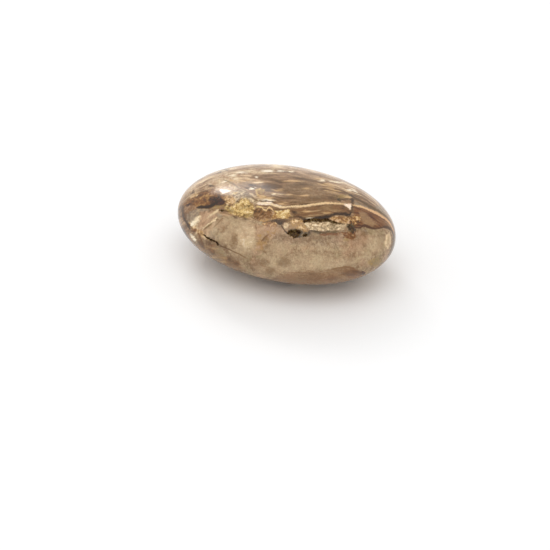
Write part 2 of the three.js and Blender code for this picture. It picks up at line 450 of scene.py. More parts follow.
MARKINGS: tuple[Marking, ...] = (
    # Paler along the top and right rims: the jasper's own pale streaks, and painted sheen where the polish
    # would mirror the bright room at a grazing angle.
    Marking("pale rim and painted sheen", (Tone.IVORY, Tone.SHELL, Tone.FAWN, Tone.MAUVE), (
        ((-32, 4), (-29, 8), (-24, 10.2), (-20, 10.6), (-15, 10), (-12, 10), (-11, 12), (-11, 14.4),
         (-3, 15.6), (4, 16), (10, 14.8), (12, 13), (12, 20), (-30, 20)),
        ((10, 11.6), (14, 10.4), (18, 9.4), (20, 9), (26, 6), (30, 3), (34, 2), (30, 12), (14, 18)),
    ), grain=Grain.STREAKS, soft=2.4, ragged=1.4, cover=0.75),
    Marking("pearly shoulder", (Tone.IVORY, Tone.CLOUD, Tone.SHELL, Tone.FAWN), (
        ((-24.4, 9.6), (-23, 12), (-19.5, 14.6), (-15, 15), (-13.6, 13.4), (-14.4, 11.4), (-13.6, 9.8),
         (-15, 9), (-18, 9.4), (-21, 9.8)),
        Lens(-8.8, 15.1, 6, 0.9, 2), Lens(-27.2, 9.5, 2.2, 0.9, 42),
        ((-28.6, -0.4), (-26.4, -0.2), (-23.2, -2.4), (-22.8, -5), (-24.8, -5.4), (-27, -3.4)),
    ), soft=1.2, ragged=0.6, cover=0.85),
    Marking("umber core", (Tone.FAWN, Tone.MAUVE, Tone.COCOA, Tone.BARK), (
        ((-7, 12.4), (-2, 12.8), (4, 13.6), (9, 12.4), (13, 9), (17, 8.2), (15, 6.2), (8, 6), (3, 6.4),
         (-1, 7.6), (-5, 9.6)),
    ), grain=Grain.STREAKS, soft=1.6, ragged=1.2, cover=0.75),
    Marking("left cap", (Tone.HONEY, Tone.OCHRE, Tone.RUST, Tone.BARK), (
        ((-30.4, 5), (-29.6, 6.2), (-27.4, 7.4), (-25.5, 8.6), (-23.3, 9.4), (-21.4, 9.8), (-20.2, 8.8),
         (-18.6, 7.6), (-17.9, 6.4), (-18.2, 5.2), (-19.8, 4.8), (-22.3, 4.1), (-25, 4), (-27.3, 4.8),
         (-29, 4.8)),
    )),
    Marking("left cap shade", (Tone.BARK, Tone.MAROON, Tone.BARK_DARK, Tone.BARK_DARK), (
        ((-21.4, 6.8), (-20, 7.4), (-18.6, 6.9), (-18, 6.1), (-18.4, 5.2), (-19.6, 4.9), (-21, 4.8),
         (-22.4, 4.9), (-21.9, 5.9)),
        Lens(-21.7, 6.7, 1.4, 0.9, 10),
    ), ragged=0.35),
    Marking("plum heart", (Tone.MAROON, Tone.PLUM), (
        Lens(-19.2, 5.9, 0.9, 0.6, 10), Lens(-29, 5, 0.8, 0.4, 25), Lens(22.7, -15.1, 1, 0.55, 15),
    ), soft=0.35, ragged=0.25),
    Marking("mauve bloom", (Tone.BLUSH, Tone.MAUVE, Tone.RUSSET), (
        Lens(-21.7, 8.6, 1.1, 0.7), Lens(-8, 15.4, 0.9, 0.3), Lens(-25.2, 10.8, 1.3, 0.45, 30),
        ((-29.6, 4.6), (-27.6, 4.9), (-26.4, 4), (-26.4, 2.6), (-28, 0.2), (-29.4, 0.6), (-30.2, 2.6)),
        ((8, 4.6), (12.4, 4.9), (14.5, 4.2), (13, 3.4), (9.5, 3.3)),
        ((16.3, 6.9), (19.6, 6.9), (19.6, 6.1), (16.3, 6.1)),
    ), soft=0.9, cover=0.85),
    Marking("smoky chalcedony", (Tone.TAUPE_PALE, Tone.ASH, Tone.SMOKE), (
        ((-29.6, 2.2), (-27.6, 3.8), (-25.2, 3.9), (-25.4, 2.8), (-26.8, 1), (-28.1, -0.7), (-29.2, -0.8)),
        ((-22, 1.5), (-20.4, 2.7), (-19.2, 2.6), (-19, 1.8), (-20.3, 1.2), (-21.6, 0.8)),
        Lens(-24, 1.2, 1.8, 0.3, 44), Lens(-21.8, 1.5, 1.6, 0.4, 44),
        ((-26.8, 3.9), (-24.6, 4.2), (-22.2, 3.8), (-22.8, 3), (-25, 2.8)),
        ((-22.6, -2.4), (-20.6, -1.6), (-19, -3.4), (-20, -5.2), (-21.6, -5), (-23, -4.2)),
        ((20.2, 6.6), (22.6, 5.6), (25, 4.2), (23.6, 4.4), (20.6, 5.2)),
        ((22.6, -1.9), (24.2, -2.4), (24.3, -3.6), (23.4, -2.8)),
        ((26.4, 5), (28.6, 4.6), (30.2, 2.2), (28.6, 2.9)),
    ), soft=0.8, ragged=0.4, cover=0.85),
    Marking("rosy left", (Tone.SHELL, Tone.BLUSH, Tone.TAUPE), (
        Lens(-21.8, -1.5, 1.8, 0.7, 44),
        ((-25.4, 3), (-23, 3.4), (-20.6, 3), (-20.2, 1.2), (-22.2, -0.6), (-24.6, -1.8), (-26.2, -1.4),
         (-25.4, 0.6)),
        ((-24.8, -2.4), (-23.2, -1.8), (-22.6, -3.4), (-23.8, -3.9)),
        Lens(-3.6, -1.5, 1.5, 0.8, 10), Lens(22.6, -4.1, 0.9, 0.8), Lens(-8.4, -8.6, 1.8, 1.3, 20),
    ), soft=0.9, cover=0.8),
    Marking("russet right", (Tone.FAWN, Tone.RUSSET, Tone.RUST, Tone.MAROON), (
        ((20.2, 4.9), (22.2, 4.6), (24.4, 3.6), (26.6, 2.6), (28.6, 1.5), (30.2, 0.2), (31, -1.6),
         (29.5, -1.4), (27, -1.8), (24.8, -1.6), (23.2, -1), (20.6, -1.4), (20.3, 0.4)),
    ), grain=Grain.STREAKS, ragged=0.4),
    Marking("fawn window", (Tone.FAWN, Tone.MAUVE), (
        ((21.8, 3.4), (24, 2.6), (25.6, 0.8), (27.6, -0.6), (25.6, -1), (23, -0.4), (22.2, 1.4)),
    ), soft=0.9, cover=0.8),
    Marking("sage saddle", (Tone.IVORY, Tone.CLOUD, Tone.GREIGE, Tone.TAUPE_DEEP), (
        ((-17.2, 8.2), (-15.4, 9.6), (-12.6, 9.6), (-9.6, 8), (-7.6, 6.4), (-9, 5.2), (-11, 6.4),
         (-13.4, 6.8), (-15.4, 5.4), (-17.2, 5.8)),
    ), soft=1, ragged=0.6, cover=0.85),
    Marking("olive core", (Tone.TAUPE, Tone.TAUPE_DEEP, Tone.COCOA), (
        ((2, 12.6), (8, 12.2), (13, 9), (16, 7.2), (12, 6.2), (5, 6), (1, 7.6), (-0.5, 10)),
    ), soft=2.2, ragged=1, cover=0.6),
    Marking("umber shade", (Tone.COCOA, Tone.BARK, Tone.BARK), (
        ((-7, 11.2), (-4, 11.8), (-1.4, 11.2), (-0.6, 10), (-3.4, 9.4), (-6.6, 9.9)),
        Lens(3.4, 10.9, 2.2, 0.5), Lens(14.8, 7.4, 2.2, 0.6, 4), Lens(1.4, 7, 1.2, 0.3),
        Lens(-5.2, 9.4, 1.5, 0.9), Lens(-10, 11, 1.3, 0.3), Lens(1.4, 8.4, 2.2, 0.6),
        Lens(6.4, 13.1, 2.2, 0.5, -3),
    ), grain=Grain.STREAKS, soft=1.2, ragged=0.8, cover=0.8, back=strewn(14, (1.5, 5), flat=0.22, draw=2)),
    Marking("cream rim of the eye", (Tone.STRAW, Tone.HONEY, Tone.MOSS), (
        ((-9, 9.8), (-7.4, 10.2), (-6.4, 9.6), (-7.2, 8.4), (-5.6, 7.6), (-6.4, 7), (-8, 7.3), (-9, 8.3)),
    ), soft=0.35, ragged=0.3, cover=0.9),
    Marking("golden eye", (Tone.MOSS, Tone.OCHRE, Tone.BARK), (
        ((-8.5, 9.5), (-7, 9.9), (-5.9, 9.1), (-6.2, 8.1), (-7.2, 7.8), (-8.3, 8.4)),
    ), soft=0.4, ragged=0.3, cover=0.9),
    Marking("brown band", (Tone.FAWN, Tone.COCOA, Tone.RUSSET, Tone.BARK), (
        ((1.4, 3.9), (3, 4.3), (7, 4.6), (12, 5.2), (16, 5.2), (19.3, 3.6), (18.6, 2.4), (15, 2.3),
         (12, 1.4), (8, 1.1), (5, 0.8), (3.4, 1.3), (2, 2.2), (1.3, 3)),
    ), grain=Grain.STREAKS, ragged=0.4),
    Marking("moss bed", (Tone.IVORY, Tone.STRAW, Tone.STRAW, Tone.HONEY, Tone.MOSS, Tone.OLIVE), (
        ((-17.6, 4.9), (-15.8, 4.6), (-14.4, 5.6), (-13.2, 7), (-11.2, 6.8), (-9.9, 5), (-9.3, 3.4),
         (-9.6, 2.2), (-11.6, 1.3), (-14, 1.6), (-15.6, 2.2), (-16.6, 2.8), (-18, 3.9)),
    ), grain=Grain.CRUMBS, soft=0.7, back=(
        ((-12, 2.2), (-9.4, 4.4), (-6, 5.2), (-3.2, 4.2), (-1.6, 2.4), (-4.6, 1.2), (-8.4, 1.4)),
        ((11, 6.6), (13.6, 7.8), (16, 6.8), (15.2, 5.2), (12.4, 5)),
    )),
    Marking("honey bed", (Tone.IVORY, Tone.STRAW, Tone.HONEY, Tone.OCHRE), (
        ((-4.2, 1), (-4, 1.9), (-3.3, 2.8), (-3.9, 3.6), (-2.4, 3.3), (-1.2, 3.4), (0.2, 4), (1.1, 3.7),
         (1.3, 2.6), (1.5, 1.7), (0.7, 1.1), (-1, 1), (-2.6, 1.1)),
    ), soft=0.35, ragged=0.4),
    Marking("golden cores", (Tone.IVORY, Tone.STRAW, Tone.HONEY), (
        Lens(-11.6, 3, 1.5, 0.7, 10), Lens(-0.6, 1.7, 1.9, 0.45, 2), Lens(-15.2, 8.6, 0.7, 0.4),
        Lens(-13.4, 5.4, 0.9, 0.5, 40), Lens(20.7, 1.3, 1, 0.7),
    ), grain=Grain.CRUMBS, soft=0.4, ragged=0.3, cover=0.8, back=strewn(6, (0.6, 1.4), flat=0.6, draw=5)),
    Marking("amber moss", (Tone.HONEY, Tone.FAWN, Tone.RUSSET, Tone.OCHRE, Tone.BARK), (
        ((-9.5, 3.5), (-8.6, 4.1), (-7.2, 3.9), (-6.6, 3.3), (-5.9, 3.2), (-5.2, 3.9), (-4.6, 3.6),
         (-4, 2.9), (-3.9, 2.3), (-4.4, 1.7), (-4.7, 0.9), (-5.8, 0.3), (-7.6, 0.2), (-9.2, 0.9),
         (-9.7, 2.2)),
    ), soft=0.3, ragged=0.3, back=(
        ((-1.8, 2.6), (0.4, 4.4), (3.4, 4.2), (4.4, 2.4), (2.2, 1.2), (-0.4, 1.2)),
        *grown(ORBS, 1.32),
    )),
    Marking("olive stain", (Tone.MOSS, Tone.SAGE), (
        Lens(26.7, -11.7, 2, 1.2, 10), Lens(29.6, -6.8, 0.6, 0.6), Lens(5.5, -2.2, 1, 0.7),
        Lens(-10.6, 1.8, 1.2, 0.5, 10), Lens(-16.2, 3.4, 1.4, 0.5, -20), Lens(-12.2, 4.4, 1.2, 0.3, 20),
        Lens(18, -5, 1.2, 0.5), Lens(17, 7.7, 1.9, 0.6, 5), Lens(-20.8, 4.4, 1.4, 0.35, 8),
    ), soft=0.8, ragged=0.4, cover=0.8),
    Marking("shadow line", (Tone.BARK, Tone.BARK_DARK), (
        ((-4.6, 0.3), (-3, 0.9), (-0.4, 0.9), (1, 0.7), (0.2, 0.2), (-0.9, -0.2), (-1.2, -0.9),
         (-1.9, -0.9), (-2.8, -0.3)),
        Lens(2.6, 2.9, 1, 0.5, -30), Lens(4.4, 1.5, 1.3, 0.35, -12), Lens(19, 1.7, 0.7, 0.5),
        Lens(17.9, 6.9, 1.6, 0.14), Lens(-15, 1.4, 1, 0.35, -14), Lens(-12.2, 0.9, 0.6, 0.3),
        Lens(-6, -0.3, 1.1, 0.25), Lens(-17, 4.1, 0.4, 0.22), Lens(16, 6.6, 0.4, 0.5),
        Lens(19.8, 6.3, 0.5, 0.8), Lens(19.4, 7.8, 0.7, 0.35, -30), Lens(-22.3, 10.7, 0.9, 0.25),
        Lens(-19.7, 14.7, 0.8, 0.22, 12), Lens(-17.7, 15.5, 0.6, 0.2), Lens(-9.9, 11, 0.9, 0.2),
        Lens(-27.6, 8.8, 0.7, 0.3, 42), Lens(19.8, 4.4, 0.22, 0.9), Lens(20.8, -14.7, 1.3, 0.6, -12),
        Lens(7.6, -15.3, 1, 0.4), Lens(-8.8, -1.8, 0.22, 0.7),
    ), soft=0.55, ragged=0.35, cover=0.9, back=(
        Lens(-6.6, 0.8, 4.6, 0.3, 3), Lens(1.6, 0.8, 2.6, 0.26, -4), Lens(20, 3.4, 2.2, 0.2, 10),
    )),
    Marking("golden crust", (Tone.CREAM, Tone.SHELL, Tone.HONEY, Tone.RUSSET), (
        ((13, 0.8), (13.8, 1.8), (15.4, 2.1), (17.6, 1.9), (19.2, 1.6), (19.6, -0.4), (18.4, -0.8),
         (16.4, -0.4), (14.6, 0.1)),
        ((1.4, 0.4), (3.2, 0.9), (5, 0.8), (5.4, 0.1), (3.6, -0.4), (1.6, -0.2)),
        Lens(6.2, -2.5, 1.2, 0.9),
    ), soft=0.8, ragged=0.6),
    Marking("druse sheet", (Tone.IVORY, Tone.CLOUD, Tone.PEARL, Tone.TAUPE_PALE), (
        ((11, 0.2), (13.4, 0.2), (15.4, -0.3), (17.2, -0.9), (17.6, -1.8), (17, -2.3), (15, -2.4),
         (12, -2.3), (10.8, -1.4)),
    ), soft=0.6, ragged=0.4, cover=0.9),
    Marking("orange crumbs", (Tone.CREAM, Tone.HONEY, Tone.RUST, Tone.BARK), (
        ((19.4, 1.6), (20.8, 2.2), (22.2, 1.4), (21.8, 0), (20.6, -1.1), (18.6, -0.6)),
        ((-7.4, -0.5), (-6, -0.2), (-4.4, -0.1), (-2.8, -0.2), (-2.4, -1.4), (-4, -1.7), (-5.8, -1.4)),
    ), grain=Grain.CRUMBS, soft=0.4),
    Marking("olive notch", (Tone.OLIVE, Tone.FOREST, Tone.BARK_DARK), (
        ((18, -0.5), (19.4, -0.3), (20.6, -1.2), (20.9, -2.4), (19.8, -2.9), (18.6, -2.4), (18.1, -1.4)),
        Lens(15.8, 6.7, 0.45, 0.4), Lens(3, -3.2, 2.4, 1.3, -10), Lens(6.3, -3.5, 1.2, 0.7, -8),
    ), soft=0.6, ragged=0.6, cover=0.85),
    Marking("rust specks", (Tone.FAWN, Tone.RUST, Tone.RUST, Tone.BARK), (
        ((16.6, -2.8), (18.6, -2.6), (20.8, -2.8), (20.8, -4.4), (19.4, -5.2), (17.8, -4.6)),
        Lens(17.2, -3.2, 0.6, 0.35, -20), Lens(17.3, -4.4, 0.35, 0.35), Lens(19.3, -4.2, 0.9, 0.5),
        Lens(18.4, -3.4, 0.5, 0.3), Lens(-27.1, -2.5, 0.75, 0.6),
        ((9.8, -3), (13, -2.9), (16.4, -3), (15.6, -3.9), (13, -3.7), (11.4, -4.4), (10.2, -3.8)),
    ), grain=Grain.CRUMBS, soft=0.4, ragged=0.4),
    Marking("druse rim", (Tone.SHELL, Tone.FAWN, Tone.FAWN, Tone.HONEY), (
        ((0.9, -0.5), (2.6, -0.3), (4.6, -0.2), (5.8, -0.3), (6.6, -1.2), (6.2, -2.2), (4.6, -2.1),
         (2.6, -1.9), (1.2, -1.8)),
        ((-20, 9.7), (-19.4, 10.2), (-17.5, 9.8), (-15.5, 9.4), (-15, 9), (-16, 8.7), (-17.6, 8.4),
         (-18.5, 8), (-19.2, 8.4), (-19.7, 9)),
    ), soft=0.6, cover=0.85),
    Marking("creamy breccia", (Tone.IVORY, Tone.CREAM, Tone.HONEY, Tone.COCOA), (
        ((-18.5, 7.8), (-17, 8.2), (-15.6, 7.6), (-14.8, 6.4), (-15.8, 5.2), (-17.6, 5.1), (-17.9, 6.2)),
        Lens(-27.9, -1.3, 1.3, 0.8, -40), Lens(-25.3, -3.4, 1.5, 0.8, -40), Lens(-27, 7.9, 1, 0.5, 30),
        Lens(4.9, -1.5, 1.3, 0.7, -12), Lens(2.6, 0.4, 1.6, 0.4, 6),
    ), grain=Grain.CRUMBS, cover=0.9, back=(
        ((17, 1), (20.4, 2.8), (23.2, 1.6), (22, -0.8), (18.6, -1.2)),
    )),
    Marking("milky cloud", (Tone.MILK, Tone.IVORY, Tone.CLOUD), (
        ((-13.6, -5.2), (-12.8, -4.5), (-11, -4.1), (-9.4, -4.4), (-9, -6), (-9.8, -7.4), (-11.5, -7.6),
         (-12.8, -6.8)),
        ((-12.4, -1.4), (-10, -1.4), (-9, -2.2), (-9.4, -3.8), (-11.4, -3.4), (-12.4, -2.4)),
        Lens(-13.8, -3.4, 1.4, 1.4),
    ), soft=1.2, cover=0.95),
    # The second outline, low on the belly, is painted light from below; the other shapes are the
    # chalcedony's own pale clouds.
    Marking("pale shoulder and painted belly light", (Tone.CLOUD, Tone.PEARL, Tone.PEARL), (
        ((-23.4, -1.8), (-22, 0.4), (-18.6, 0.8), (-14, 0.8), (-9.6, 0.2), (-8.8, -3), (-7.6, -7.6),
         (-10.4, -9.4), (-14.6, -7.8), (-18.6, -5.6), (-21, -3.8)),
        ((-7, -9.6), (0, -9.6), (6, -9), (12, -9.4), (18, -10.6), (23, -10.4), (20, -13.4), (10, -14.4),
         (2, -15.4), (-8, -15)),
        ((24.6, -4.2), (27, -3.8), (29.6, -4.8), (29, -8.4), (25.6, -9.6), (24.2, -7.4)),
        Lens(-2.2, -8, 3.4, 2.2), Lens(10.4, -7.6, 3.4, 1), Lens(-13.6, -8.8, 2.2, 1.4),
        Lens(23.8, -9.2, 2, 1.4),
    ), soft=3.4, ragged=0.9, cover=0.65),
    Marking("warm column", (Tone.SHELL, Tone.BLUSH, Tone.HONEY), (
        ((-8.9, -0.6), (-5.4, -0.8), (-3.8, -0.4), (-1.6, -1.6), (-2.6, -3.2), (-5, -5.4), (-6.8, -8.4),
         (-9, -8.2), (-8.4, -5.6)),
    ), soft=1.2, ragged=0.7, cover=0.6),
    # The two long outlines under the vug darken the upper belly as painted shade; the ovals are the
    # stone's own brown patches.
    Marking("brown patches and painted belly shade", (Tone.TAUPE_DEEP, Tone.COCOA), (
        Lens(-15.2, -5.2, 1, 2, -4), Lens(-6.2, -5, 1.2, 0.5, 50), Lens(-4.4, -14.4, 1.3, 1),
        Lens(-18.6, -2.4, 1.6, 0.35, 52), Lens(-20.3, -3.2, 1.3, 0.3, 55), Lens(-16, -11.8, 1.7, 1.3),
        Lens(-20.6, -6.6, 1.6, 0.9, -30), Lens(23.3, -3.5, 1, 1), Lens(-0.4, -12, 2.2, 1.3),
        Lens(-6.6, -12, 1.6, 1.1),
        ((6.4, -4), (9, -3.8), (12, -4.1), (15, -4), (16.6, -4.4), (16, -5), (13, -4.9), (10, -5.2),
         (8, -5), (6.8, -5.2)),
        ((-2.2, -3), (0.4, -3.8), (3, -5.2), (6, -4.4), (8, -5), (5, -5.8), (0.6, -5.4), (-1.8, -4.6)),
    ), soft=1.2, ragged=0.7, cover=0.7, back=strewn(9, (1.2, 3.4), flat=0.5, draw=6)),
    Marking("ochre belly", (Tone.HONEY, Tone.OCHRE, Tone.COCOA, Tone.OLIVE), (
        ((-27.6, -4), (-26, -4.4), (-24.6, -6.2), (-22.4, -7), (-20.4, -8.2), (-17.6, -10.4), (-14.6, -12),
         (-12.6, -13.8), (-11, -15.6), (-14, -20), (-34, -12), (-30, -5)),
    ), grain=Grain.STREAKS, soft=1.6, ragged=0.8, cover=0.55),
    Marking("amber spots", (Tone.RUST, Tone.BARK), (
        Lens(-16.9, -10.9, 0.8, 0.6, -30), Lens(-14.6, -12.3, 1.3, 0.7, -30),
        Lens(-25.2, -6.6, 1, 0.5, -60), Lens(-22, -8.6, 1.6, 0.6, -35), Lens(-27.2, -2.6, 0.55, 0.5),
        Lens(-30.2, 2.4, 0.5, 1.8, 12), Lens(-22.4, -6.7, 1.3, 0.6, -35),
    ), soft=0.9, ragged=0.4, cover=0.8),
    Marking("rosy belly", (Tone.RUSSET, Tone.MAUVE), (
        ((-6, -18.6), (-2, -15.6), (2, -15), (5, -14.4), (8, -14.3), (12, -14.4), (15, -13.8), (18, -13.4),
         (20.6, -13.9), (22.6, -14.8), (24, -16), (18, -24), (-6, -24)),
    ), grain=Grain.STREAKS, soft=0.9, ragged=0.7, cover=0.6, back=(
        ((-20, -10), (-8, -7.6), (6, -8.4), (18, -9.8), (10, -13), (-8, -14)),
    )),
    Marking("plum belly", (Tone.RUSSET, Tone.MAROON), (
        Lens(19.6, -14.9, 2.8, 1.1, 6), Lens(13.9, -16.6, 1.6, 0.5, 4),
    ), grain=Grain.STREAKS, soft=0.9, ragged=0.4, cover=0.6),
    Marking("golden flecks", (Tone.CREAM, Tone.HONEY), (
        Lens(2.3, 12.3, 1.9, 0.34), Lens(-2.5, 9.5, 1.6, 0.32), Lens(-7.3, 7.5, 0.9, 0.42, 20),
        Lens(-4.7, 7.2, 1.1, 0.3, 8), Lens(14, 9.4, 1.9, 0.32, -3), Lens(12.9, 10.4, 1.4, 0.26, -4),
        Lens(18.4, 7.5, 1, 0.4), Lens(12, 2.85, 1, 0.26, 3), Lens(6.1, 3.2, 1.1, 0.3),
        Lens(-1, 5.6, 0.9, 0.26), Lens(6.2, 10.1, 1, 0.2), Lens(-12.8, 12.2, 1.5, 0.26, 8),
        Lens(9.9, 13, 1.3, 0.26), Lens(0.8, 8.2, 1.2, 0.16), Lens(5.4, 7.9, 1.4, 0.18),
        Lens(-8.9, 11.75, 1.5, 0.26), Lens(12.4, 11.2, 2, 0.35, -5), Lens(-16, 12.4, 1.6, 0.3, 14),
    ), grain=Grain.STREAKS, ragged=0.3, cover=0.75, back=strewn(34, (0.6, 2.6), flat=0.18, draw=3)),
    Marking("ivory flecks", (Tone.IVORY, Tone.MILK), (
        Lens(-13.4, 14.75, 1.7, 0.3, 4), Lens(-15.9, 13.8, 0.9, 0.2), Lens(-14.8, 12.85, 0.8, 0.24),
        Lens(-5.3, 15.15, 1.4, 0.26, -2), Lens(-1.6, 15.15, 1, 0.2, -2), Lens(1.8, 15.1, 0.7, 0.2),
        Lens(-8.7, 13.45, 0.6, 0.3), Lens(-8, 11.8, 0.8, 0.18), Lens(-5.4, 6.6, 1.6, 0.3, -4),
        Lens(-10.2, 9.9, 0.9, 0.26, 6), Lens(-3.5, 8.4, 0.6, 0.26), Lens(-1.7, 8.3, 0.9, 0.16),
        Lens(10.8, 12.4, 0.8, 0.3, -6), Lens(15.4, 11.9, 1.8, 0.2, -8), Lens(18.9, 9.6, 0.9, 0.26, -6),
        Lens(20.4, 9.5, 0.8, 0.22, -25), Lens(7.2, 1.25, 1, 0.24), Lens(-24.6, 12.2, 1.2, 0.25, 32),
        Lens(-18.2, 12, 0.9, 0.25, 20), Lens(-27.4, -4.8, 1.5, 0.4, -52),
    ), grain=Grain.STREAKS, soft=0.35, ragged=0.28, back=strewn(26, (0.4, 1.9), flat=0.24, draw=4)),
    # On the face, the first outline and the three ovals are painted highlights, where the polish would
    # catch a softbox; the outline on the right and the ovals behind are white quartz.
    Marking("milk quartz and painted highlights", (Tone.MILK, Tone.PETAL), (
        ((-19.8, 9.5), (-19.2, 9.9), (-17.5, 9.6), (-16.2, 9.3), (-17.4, 8.8), (-18.6, 8.4), (-19.2, 8.8)),
        ((16.9, 5.5), (19.5, 5.6), (19.5, 4.9), (19.15, 3.8), (18.1, 4.7)),
        Lens(-7.3, 5.6, 1.4, 0.42), Lens(-5.5, 5.6, 1.7, 0.52, -6), Lens(-2.6, 4.9, 1.2, 0.3, -14),
    ), soft=0.35, ragged=0.22, back=(
        Lens(-18, 4.4, 2.2, 0.7, 12), Lens(7.4, 7.2, 1.5, 0.6, -8),
    )),
    Marking("pale orbs", (Tone.IVORY, Tone.SHELL), (
        Lens(0.15, -1, 0.8, 0.75), Lens(30.4, -5.4, 0.9, 2.3, -6),
    ), soft=0.4, ragged=0.25, cover=0.85, back=ORBS),
    Marking("orb hearts", (Tone.FAWN, Tone.GREIGE), (
        Lens(0.15, -1, 0.24, 0.22), Lens(30.5, -5.4, 0.4, 1.5, -6),
    ), soft=0.3, ragged=0.1, cover=0.5, back=grown(ORBS, 0.52)),
)

